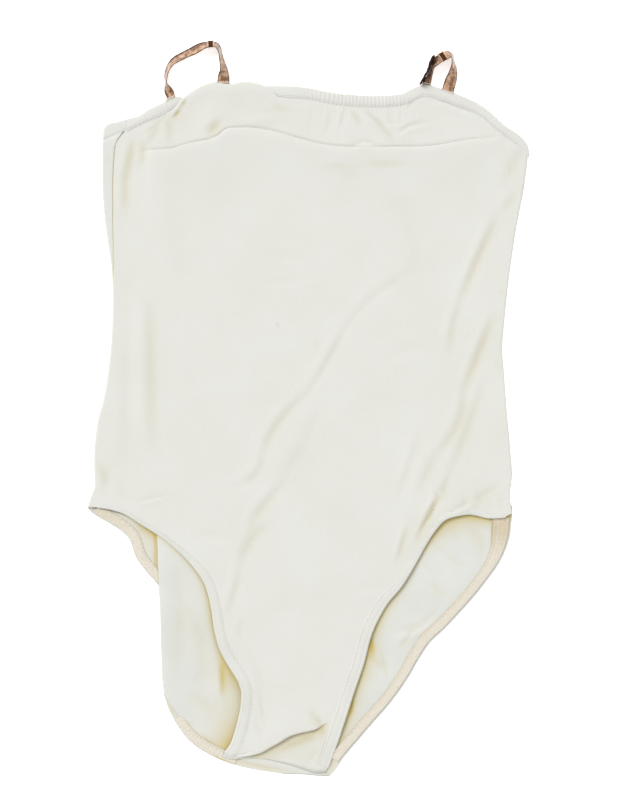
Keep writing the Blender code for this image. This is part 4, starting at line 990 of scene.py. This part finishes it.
def leg_elastic(name, table, side, first, last, inset, wider, end_shade, inner_edge_shade):
    """One stretch of elastic between two shares of the back's leg edge, and its zigzag stitches.

    Its inner edge is drawn up into small scallops by the stitches, and it thickens between them.
    inset is how far in from the back's edge it lies and wider a table of extra width, in mm, while
    the last two arguments say how much painted shade darkens its upper end and its inner edge.
    """
    points = np.array([(x, y) for y, x in reversed(table)])
    rows = along(points, np.linspace(first, last, 260))
    mm = run_of(rows)[:, None]
    wave = np.cos(2 * math.pi * mm / 3.4 + 1.1 * np.sin(mm / 11.0))
    width = ELASTIC_WIDTH + read(wider, mm) + 0.22 * wave + 0.2 * np.sin(mm / 17.0)
    xy = beside_path(rows, side * (inset + width * EDGE_ROUND))
    z = np.full(xy.shape[:2], Z_BACK + 0.86)
    above = EDGE_FULL * (0.42 + 0.06 * wave)
    # Painted shade: darker at the upper end, under the front's edge, and along the inner edge.
    warm = end_shade * ease(1.25 - mm / 34.0) + inner_edge_shade * np.exp(-(((1 - EDGE_ROUND) / 0.08) ** 2))
    strip = band(name, np.concatenate((xy, z[..., None]), -1), above, 0.40 * EDGE_FULL, beige_elastic, warm)
    row = np.concatenate((xy[:, 8], z[:, 8, None] + 0.42), -1)
    zigzag(name + "_stitches", row, mm[-1, 0], 1.9, 0.9, 3, 0.28)
    return strip


right_elastic = leg_elastic(
    "elastic_right_leg", BACK_LEG_RIGHT, 1, 0.004, 0.955, 2.0, ELASTIC_AT_HIP, 0.36, 0.5)
hip_elastic = leg_elastic(
    "elastic_left_hip", BACK_LEG_LEFT, -1, 0.012, 0.277, 1.2, ELASTIC_EVEN, 0.15, 0.3)
crotch_elastic = leg_elastic(
    "elastic_left_crotch", BACK_LEG_LEFT, -1, 0.655, 0.865, 1.2, ELASTIC_EVEN, 0.0, 0.5)
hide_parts("leg_elastic_right_back")
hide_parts("leg_elastic_left_hip")
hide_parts("leg_elastic_left_crotch")

# The neck casings.
# A strip of the same jersey turned over narrow elastic and stitched with a twin needle. The front's
# lies over the panel's top edge and is gathered in the middle; the back's turns up round the left.

CASING_LEFT = (  # x, y of its lower edge, x, y of its upper edge, gather depth, how far it sinks
    (-154, 234.4, -153.4, 245.4, 0.3, 0), (-143, 240.9, -145, 247.4, 0.8, 0),
    (-130, 246.4, -134.5, 253.6, 0.9, 0), (-119.3, 251.4, -122.5, 259.3, 0.8, 0),
    (-114, 254.7, -113.5, 264, 0.2, 0.5), (-110, 256.8, -109.2, 264.2, 0.1, 1.1),
    (-106, 258.5, -105.2, 262.6, 0, 1.7),
)
CASING_RIGHT = (  # the same columns
    (-28.5, 266, -41, 272.5, 0, 1.6), (-23.8, 264.3, -34, 273.5, 0, 0.4),
    (-15.5, 263.6, -20, 273.3, 0.15, 0), (-2.5, 262.9, -5, 272.4, 0.4, 0),
    (17, 259.4, 17.5, 268.2, 1, 0), (30.5, 257.4, 31, 266.3, 1.1, 0),
    (58, 255.9, 58, 264.9, 1.1, 0), (78, 257.4, 77, 266.2, 1, 0),
    (92, 262.4, 90, 271.6, 0.5, 0), (98.5, 264.9, 98.5, 274.3, 0.15, 0),
    (112, 262.4, 113, 271, 0.2, 0), (132.5, 254.9, 136, 262.5, 0.3, 0),
    (146, 248.9, 150.5, 254.5, 0.35, 0), (160, 236.9, 166.5, 240.2, 0.35, 0),
    (173.5, 226.4, 180, 231, 0.2, 0.2), (178, 222.6, 184.6, 225.8, 0.1, 0.4),
    (181.5, 218.5, 187.3, 219.5, 0, 0.7), (184, 213, 188, 213.2, 0, 1.1),
)
CASING_WIDTH = 9.6             # of the back's
CASING_SEAM = 21.35            # how far onto the top it reaches round the left side, mm
CASING_END = 184.2             # x of its other end
BACK_CORNER = (  # mm from the outline along the back's casing, how much wider than CASING_WIDTH it is
    (-3.4, 0), (0, 0.3), (1.6, 1.6), (3.4, 2.6), (6.4, 2.9), (12, 1.4), (19, 0.3), (22, 0),
)
CASING_RISE = 0.42             # its middle over the front's
CASING_STITCHES = (0.12, 0.26)  # the twin needle's two rows, as shares of its width


def gathers(mm, depth):
    """Height and sideways shift of the gathers at lengths mm along a casing: uneven, 3.3 mm apart."""
    phase = 2 * math.pi * mm / 3.3 + 1.6 * np.sin(mm / 13.0) + 0.9 * np.sin(mm / 5.7 + 1.0)
    wave = np.cos(phase)
    return depth * (0.17 * wave + 0.06 * np.cos(2.3 * phase + 0.4)), 0.2 * depth * wave


def front_casing(name, table, count):
    """A casing on the front, from its table, with both rows of stitches."""
    rows = along(table, np.linspace(0.0, 1.0, count))
    mm = run_of(rows)
    ridge, shift = gathers(mm, rows[:, 4])
    low, high = rows[:, None, 0:2], rows[:, None, 2:4]
    reach = (high - low) / np.linalg.norm(high - low, axis=-1, keepdims=True)
    low = low - reach * 1.3
    high = high + reach * (0.15 + shift)[:, None, None]
    t = EDGE_ROUND[None, :, None]
    xy = low + (high - low) * t
    sunk = rows[:, 5][:, None]
    rise = CASING_RISE - 0.30 * ease((EDGE_ROUND - 0.55) / 0.45) - 0.26 * ease(1 - EDGE_ROUND / 0.42)
    z = Z_FRONT + rise[None, :] - sunk
    hollow = 1 - 0.30 * np.exp(-((EDGE_ROUND - 0.19) / 0.10) ** 2)
    above = EDGE_SEWN * hollow * 0.50 + ridge[:, None] * EDGE_FULL * np.clip(EDGE_ROUND * 4, 0, 1)
    below = EDGE_FULL * (0.12 + 0.5 * ease((EDGE_ROUND - 0.2) / 0.3))
    piece = band(name, np.concatenate((xy, z[..., None]), -1), above, below, cream_hem)
    rows_of = []
    for share in CASING_STITCHES:
        at = low[:, 0] + (high - low)[:, 0] * share
        lift = np.interp(share, EDGE_ROUND, rise) + 0.40 + 0.6 * ridge - sunk[:, 0]
        line = np.concatenate((at, (Z_FRONT + lift)[:, None]), -1)
        pitch = max(1, int(round(count * 2.4 / mm[-1])))
        rows_of.append((line[2:-2:pitch], np.gradient(line, axis=0)[2:-2:pitch]))
    points, ahead = (np.concatenate([r[k] for r in rows_of]) for k in (0, 1))
    stitches(name + "_stitches", points, ahead, 1.7, 0.34, cream_thread)
    return piece


left_casing = front_casing("casing_front_left", CASING_LEFT, 130)
right_casing = front_casing("casing_front_right", CASING_RIGHT, 560)
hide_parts("neck_casing_left")
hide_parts("neck_casing_right")


def back_casing():
    """The back's casing: from the seam on top, round the left side, then flat along the back's top."""
    up = np.linspace(CASING_SEAM, ON_TOP + 0.2, 28)
    bend = np.linspace(ON_TOP, BELOW, 24)
    flat = np.linspace(0.0, 1.0, 300)[1:]
    down = CASING_WIDTH * (1 - EDGE_ROUND)
    p = np.concatenate((up, bend))[:, None]
    y_left = BACK_EDGE_TOP + BACK_EDGE_RISE * np.maximum(p, 0.0) - down + read(BACK_CORNER, p) * EDGE_ROUND
    x_left, z_left = np.broadcast_arrays(*turn(read(SIDE_LEFT, y_left), 1, 0.0, p))
    x_flat = x_left[-1:] + (CASING_END - x_left[-1:]) * flat[:, None]
    y_flat = read(BACK_TOP, x_flat) - down
    y_flat = y_flat + (y_left[-1:] - y_flat[:1]) * np.exp(-flat[:, None] * 40)
    x = np.concatenate((x_left, x_flat))
    y = np.concatenate((y_left, y_flat))
    z = np.concatenate((z_left, np.full(x_flat.shape, Z_BACK)))
    on_top = ease((z - Z_BACK - ROLL) / ROLL)
    z = z + (0.36 - 0.34 * ease(1 - EDGE_ROUND / 0.2)) * on_top + 0.06 * (1 - on_top)
    mm = np.concatenate(([0.0], np.cumsum(np.abs(np.diff(x[:, 0])))))
    wave = 0.05 * np.cos(2 * math.pi * mm / 3.3 + np.sin(mm / 9.0))[:, None]
    inside = EDGE_FULL * (0.42 * (1 - on_top) + 0.14 * on_top + wave)
    outside = EDGE_SEWN * 0.42 * on_top + EDGE_FULL * 0.40 * (1 - on_top) + EDGE_SEWN * wave * on_top
    return band("casing_back", np.stack((x, y, z), -1), inside, outside, cream_hem)


back_band = back_casing()
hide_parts("neck_casing_back")

# The shoulder straps.
# Tan satin elastic, 10 mm wide, sewn in between the neck casings of front and back. Each ribbon
# turns on its edge as it leaves the casing; the right one is doubled back through its slider.

STRAP_LEFT = (  # x, y, height of the middle, width, tilt in degrees
    (-114, 251, 2.2, 7, 0), (-115, 256, 2.2, 7, 0), (-116, 261.5, 2.2, 7, 0),
    (-117, 266.2, 2.3, 7.4, 3), (-119, 270.4, 4, 9, 45), (-120.6, 275.5, 5.4, 10, 80),
    (-120.4, 282, 5.3, 10, 68), (-115.5, 293, 5, 10, 58), (-106.3, 298.8, 4.8, 10, 42),
    (-98, 302.8, 4.8, 10, 38), (-88.4, 307.4, 6.2, 9.8, 51), (-82.4, 308.6, 6.8, 9.3, 55),
    (-78.2, 308.2, 6.5, 9.8, 57), (-75.6, 304.8, 5.6, 10, 66), (-74.4, 301, 5.4, 10, 76),
    (-72.8, 294, 5.1, 10, 66), (-71.3, 286, 4.4, 10, 44), (-71.8, 279.5, 2.6, 10, 8),
    (-72.2, 273, 2.2, 10, 0), (-72.6, 265.5, 2.2, 10, 0),
)
STRAP_RIGHT = (  # the same columns
    (100, 265, 2.2, 6.6, 0), (100.4, 270, 2.2, 6.6, 0), (100.8, 275.6, 2.3, 6.6, 4),
    (103, 281.3, 4.4, 8.5, 58), (105.4, 288.4, 5.3, 10, 69), (109.4, 294.6, 5.4, 10, 44),
    (114.4, 298, 6.1, 9.3, 40), (118.4, 299.6, 6, 10, 42), (121.4, 299.4, 5.6, 10, 66),
    (122.7, 296.5, 5.5, 10, 80), (123.6, 289, 4.8, 10, 56), (122.8, 283, 4, 10, 36),
    (121, 277.5, 2.7, 10, 12), (119, 270.5, 2.2, 10, 0), (117.4, 263, 2.2, 10, 0),
)
STRAP_RETURN = (  # the same columns
    (94.9, 274.4, 4.6, 8, 80), (96.6, 277, 5.3, 10, 80), (99.2, 281.7, 5.4, 10, 80),
    (102.3, 287.6, 5.4, 10, 80), (104, 293.2, 5.4, 10, 78), (106.9, 299.3, 5.4, 10, 78),
)


def satin(name, light, deep, edge):
    """Satin-faced elastic: glossy, with painted highlights in clouded patches of its light colour over its
    deep one, and darker edges.

    Its cross ribs are 0.7 mm apart and its clouded patches some 4 mm long. The point attribute says how
    much of the third colour shows, for the ribbon's own darker edges and for painted shade, and the
    gloss goes as it darkens.
    """
    material, shader = finish_of(name, 0.27, Anisotropic=0.5)
    tree = material.node_tree
    uv = add(tree, "ShaderNodeUVMap", uv_map="cloth").outputs["UV"]
    stretched = add(tree, "ShaderNodeMapping", {"Vector": uv, "Scale": (2.6, 2.1, 1.0)})
    highlight_clouds = add(tree, "ShaderNodeTexNoise", {"Vector": stretched.outputs["Vector"], "Scale": 1.0,
                                              "Detail": 4.0, "Roughness": 0.62})
    ribs = add(tree, "ShaderNodeTexWave", {"Vector": uv, "Scale": 2.25, "Distortion": 0.4},
               wave_type="BANDS", bands_direction="Y")
    rims_and_shade = join(tree, shader, highlight_clouds.outputs["Fac"], (0.42, 0.60), (deep, light, edge),
                ribs.outputs["Fac"], 0.35, 0.0004)
    for socket, plain, in_shade in (("Roughness", 0.27, 0.9), ("Specular IOR Level", 0.6, 0.02)):
        value = add(tree, "ShaderNodeMapRange", {"Value": rims_and_shade, "To Min": plain, "To Max": in_shade})
        tree.links.new(value.outputs["Result"], shader.inputs[socket])
    return material


# Its third colour is for the ribbon's own darker edges and for painted shade.
tan_satin = satin("tan satin elastic", "CFA988", "7E583F", "2C170C")
# RIM_THIN draws the ribbon's own darker edges; the second table is painted shade along its outer edge.
RIM_THIN = ((0.0, 0.9), (0.04, 0.8), (0.09, 0.1), (0.14, 0.0), (1.0, 0.0))   # share in, darkness
RIM_SHADE = ((0.0, 1.0), (0.10, 1.0), (0.2, 0.55), (0.32, 0.0), (1.0, 0.0))


def ribbon(name, table, count, wobble, shaded, until, in_shade=0.0):
    """A strap: a flat ribbon along its path, turned about it by each row's tilt.

    Small waves in its tilt, strongest in the middle of the strap, keep it from being even. shaded
    is how much painted shade darkens its outer edge, up to the share until of its length, and the
    last argument how much painted shade darkens all of it.
    """
    share = np.linspace(0.0, 1.0, count)
    rows = along(table, share)
    centre = rows[:, :3].copy()
    ahead = heading(centre[:, :2])
    loose = wobble * np.sin(math.pi * share) ** 2
    tilt = np.radians(rows[:, 4] + loose * np.sin(share * 31.0))
    beside = np.stack((-ahead[:, 1] * np.cos(tilt), ahead[:, 0] * np.cos(tilt), -np.sin(tilt)), -1)
    t = EDGE_ROUND - 0.5
    middle = centre[:, None] + beside[:, None] * (t[None, :, None] * rows[:, 3][:, None, None])
    thick = shaded * ease(share / 0.2) * ease((until - share) / 0.12)
    rim = np.maximum(read(RIM_THIN, EDGE_ROUND), read(RIM_THIN, 1 - EDGE_ROUND))[None, :]
    rim = np.maximum(rim, read(RIM_SHADE, 1 - EDGE_ROUND)[None, :] * thick[:, None])
    piece = band(name, middle, 0.40 * EDGE_FULL, 0.40 * EDGE_FULL, tan_satin, np.maximum(rim, in_shade))
    return piece


left_strap = ribbon("ribbon_left", STRAP_LEFT, 260, 5.0, 1.0, 0.82)
right_strap = ribbon("ribbon_right", STRAP_RIGHT, 220, 3.0, 1.0, 0.5)
# The doubled-back layer is painted all over in shade.
return_strap = ribbon("ribbon_right_return", STRAP_RETURN, 90, 2.0, 1.0, 1.0, 1.0)
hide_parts("strap_left")
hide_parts("strap_right")
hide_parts("strap_right_return")

# The stitches that hold the straps in the casings.
# Short bars of pale peach thread across each strap end, sewn through the casing.

peach_thread = plain_thread("peach polyester thread", "F6E2CD")
STRAP_BARS = (  # x, y, height of the bar's middle, its length, its direction in degrees
    (-117, 263.6, 4.5, 8, 28), (-117.4, 262.4, 4.5, 7, 28),
    (-71.8, 277.2, 4, 10.5, 2), (-72, 276.2, 4.3, 10, 0),
    (96.5, 275.4, 4.2, 5.6, 12), (101.2, 275.2, 4.3, 6, -6),
    (118.6, 269.4, 4.1, 10.5, -22), (118.2, 268.4, 4.4, 10, -22),
)
bars = np.array(STRAP_BARS)
place = np.linspace(-0.5, 0.5, 7)[None, :]
turned = np.radians(bars[:, 4])[:, None]
bar_points = np.stack((bars[:, 0:1] + np.cos(turned) * place * bars[:, 3:4],
                       bars[:, 1:2] + np.sin(turned) * place * bars[:, 3:4],
                       bars[:, 2:3] + 0.0 * place), -1).reshape(-1, 3)
bar_ahead = np.stack(np.broadcast_arrays(np.cos(turned + 0.5), np.sin(turned + 0.5), 0.0 * place), -1)
stitches("strap_end_stitches", bar_points, bar_ahead.reshape(-1, 3), 1.7, 0.6, peach_thread)

# The strap sliders.
# A small coated metal slider on each strap: two rounded loops of wire joined by a thin plate, through
# which the ribbon passes. They move by hand only and are shown where the photograph has them.

SLIDER_WIDE = 5.15             # half sizes of a loop's middle line
SLIDER_HIGH = 1.05
# The darkness column is painted shade, darkest on the loops' inner side and the plate between them.
SLIDER_SECTION = (  # mm along the ribbon, mm out from the loop's middle line, darkness
    (-2.9, 0, 0.1), (-2.75, 0.35, 0), (-2.4, 0.5, 0), (-2.05, 0.35, 0.1), (-1.85, 0, 0.7),
    (-1.6, -0.2, 1), (0, -0.22, 1), (1.6, -0.2, 1), (1.85, 0, 0.7), (2.05, 0.35, 0.1),
    (2.4, 0.5, 0), (2.75, 0.35, 0), (2.9, 0, 0.1), (2.7, -0.4, 0.3), (2, -0.5, 1),
    (0, -0.5, 1), (-2, -0.5, 1), (-2.7, -0.4, 0.3),
)
# The enamel looks like the ribbon at this size, so the same function makes it: its clouded patches
# are painted highlights, and its third colour is painted shade on the loops' inner side and plate.
tan_enamel = satin("tan enamelled steel", "E0BD9E", "C69E7D", "4A2E1E")


def slider(name, table, at, node):
    """Two loops round the ribbon at a row of its table, and the sleeve between them.

    A loop is a rounded rectangle in the plane across the ribbon, swept by SLIDER_SECTION.
    """
    here = np.array(table[at], float)
    ahead = np.append(np.array(table[at + 1][:2]) - np.array(table[at - 1][:2]), 0.0)
    ahead /= np.linalg.norm(ahead)
    tilt = math.radians(here[4])
    beside = np.array([-ahead[1] * math.cos(tilt), ahead[0] * math.cos(tilt), -math.sin(tilt)])
    up = np.cross(ahead, beside)
    round_it = np.linspace(0, 2 * math.pi, 48, endpoint=False)
    bx = SLIDER_WIDE * np.sign(np.cos(round_it)) * np.abs(np.cos(round_it)) ** 0.4
    by = SLIDER_HIGH * np.sign(np.sin(round_it)) * np.abs(np.sin(round_it)) ** 0.4
    out = np.stack((np.cos(round_it) / SLIDER_WIDE, np.sin(round_it) / SLIDER_HIGH), -1)
    out /= np.linalg.norm(out, axis=1, keepdims=True)
    section = np.array(SLIDER_SECTION)
    ring = (here[:3] + ahead * section[:, 0][:, None, None]
            + beside * (bx + out[:, 0] * section[:, 1][:, None])[..., None]
            + up * (by + out[:, 1] * section[:, 1][:, None])[..., None])
    ring = np.concatenate((ring, ring[:1]))
    shade = np.broadcast_to(np.append(section[:, 2], section[0, 2])[:, None], ring.shape[:2])
    uv = np.stack(np.broadcast_arrays(round_it[None, :], np.arange(len(ring))[:, None] * 0.3), -1)
    piece = lay_mesh(name, ring, grid_faces(len(ring), 48, ring=True)[:, ::-1], tan_enamel, uv, shade)
    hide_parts(node)


slider("slide_left", STRAP_LEFT, 11, "slider_left")
slider("slide_right", STRAP_RIGHT, 6, "slider_right")

# Light, table and camera.
# A pale table, lit evenly from below so that no shadow shows on it, under soft studio light, seen
# straight from above as in the photograph.

FRAME_HIGH = 800               # the picture's height in pixels
PIXEL = 0.85                   # mm that one pixel shows at the table
FRAME_MIDDLE = (309, 400)      # the picture's middle, in pixels from its upper left corner
TABLES_FROM = (308, 408)       # the pixel from which this file's tables are measured
LOOK_AT = ((FRAME_MIDDLE[0] - TABLES_FROM[0]) * PIXEL - CENTRE[0],
           (TABLES_FROM[1] - FRAME_MIDDLE[1]) * PIXEL - CENTRE[1])
CAMERA_HEIGHT = 2.6            # over the table, m
FILM = 24.0                    # height of the camera's sensor, mm

table_finish, table_shader = finish_of("opal acrylic light table", 0.9, Specular_IOR_Level=0.1)
table_shader.inputs["Base Color"].default_value = srgb("FAFAFA")
table_shader.inputs["Emission Color"].default_value = (1.0, 1.0, 1.0, 1.0)
table_shader.inputs["Emission Strength"].default_value = 0.55
TABLE_HALF = 2500              # mm from its middle to each side
TABLE_TOP = -0.4               # a little under the cloth
ring = ((-1, -1), (1, -1), (1, 1), (-1, 1))
table_corners = [(x * TABLE_HALF, y * TABLE_HALF, TABLE_TOP) for x, y in ring]
table = lay_mesh("table", table_corners, [(0, 1, 2, 3)], table_finish)

world = bpy.data.worlds.new("studio")
bpy.context.scene.world = world
world.use_nodes = True
world.node_tree.nodes["Background"].inputs["Color"].default_value = (1.0, 1.0, 1.0, 1.0)
world.node_tree.nodes["Background"].inputs["Strength"].default_value = 0.62


def lamp(name, kind, place, power, **settings):
    """A lamp at place in metres, turned to the middle of the garment."""
    light = bpy.data.lights.new(name, kind)
    light.energy = power
    for key, value in settings.items():
        setattr(light, key, value)
    obj = bpy.data.objects.new(name, light)
    obj.location = place
    obj.rotation_euler = (-Vector(place)).to_track_quat("-Z", "Y").to_euler()
    bpy.context.scene.collection.objects.link(obj)
    return obj


lamp("soft key from the upper left", "SUN", (-1.6, 1.5, 2.0), 2.1, angle=math.radians(28))
lamp("low fill from the right", "SUN", (2.4, -0.6, 1.5), 0.45, angle=math.radians(60))

lens = bpy.data.cameras.new("camera")
lens.sensor_fit = "VERTICAL"
lens.sensor_height = FILM
lens.lens = FILM * CAMERA_HEIGHT / (FRAME_HIGH * PIXEL * MM)
camera = bpy.data.objects.new("camera", lens)
camera.location = (LOOK_AT[0] * MM, LOOK_AT[1] * MM, CAMERA_HEIGHT)
bpy.context.scene.collection.objects.link(camera)
bpy.context.scene.camera = camera
bpy.context.scene.view_settings.view_transform = "Standard"
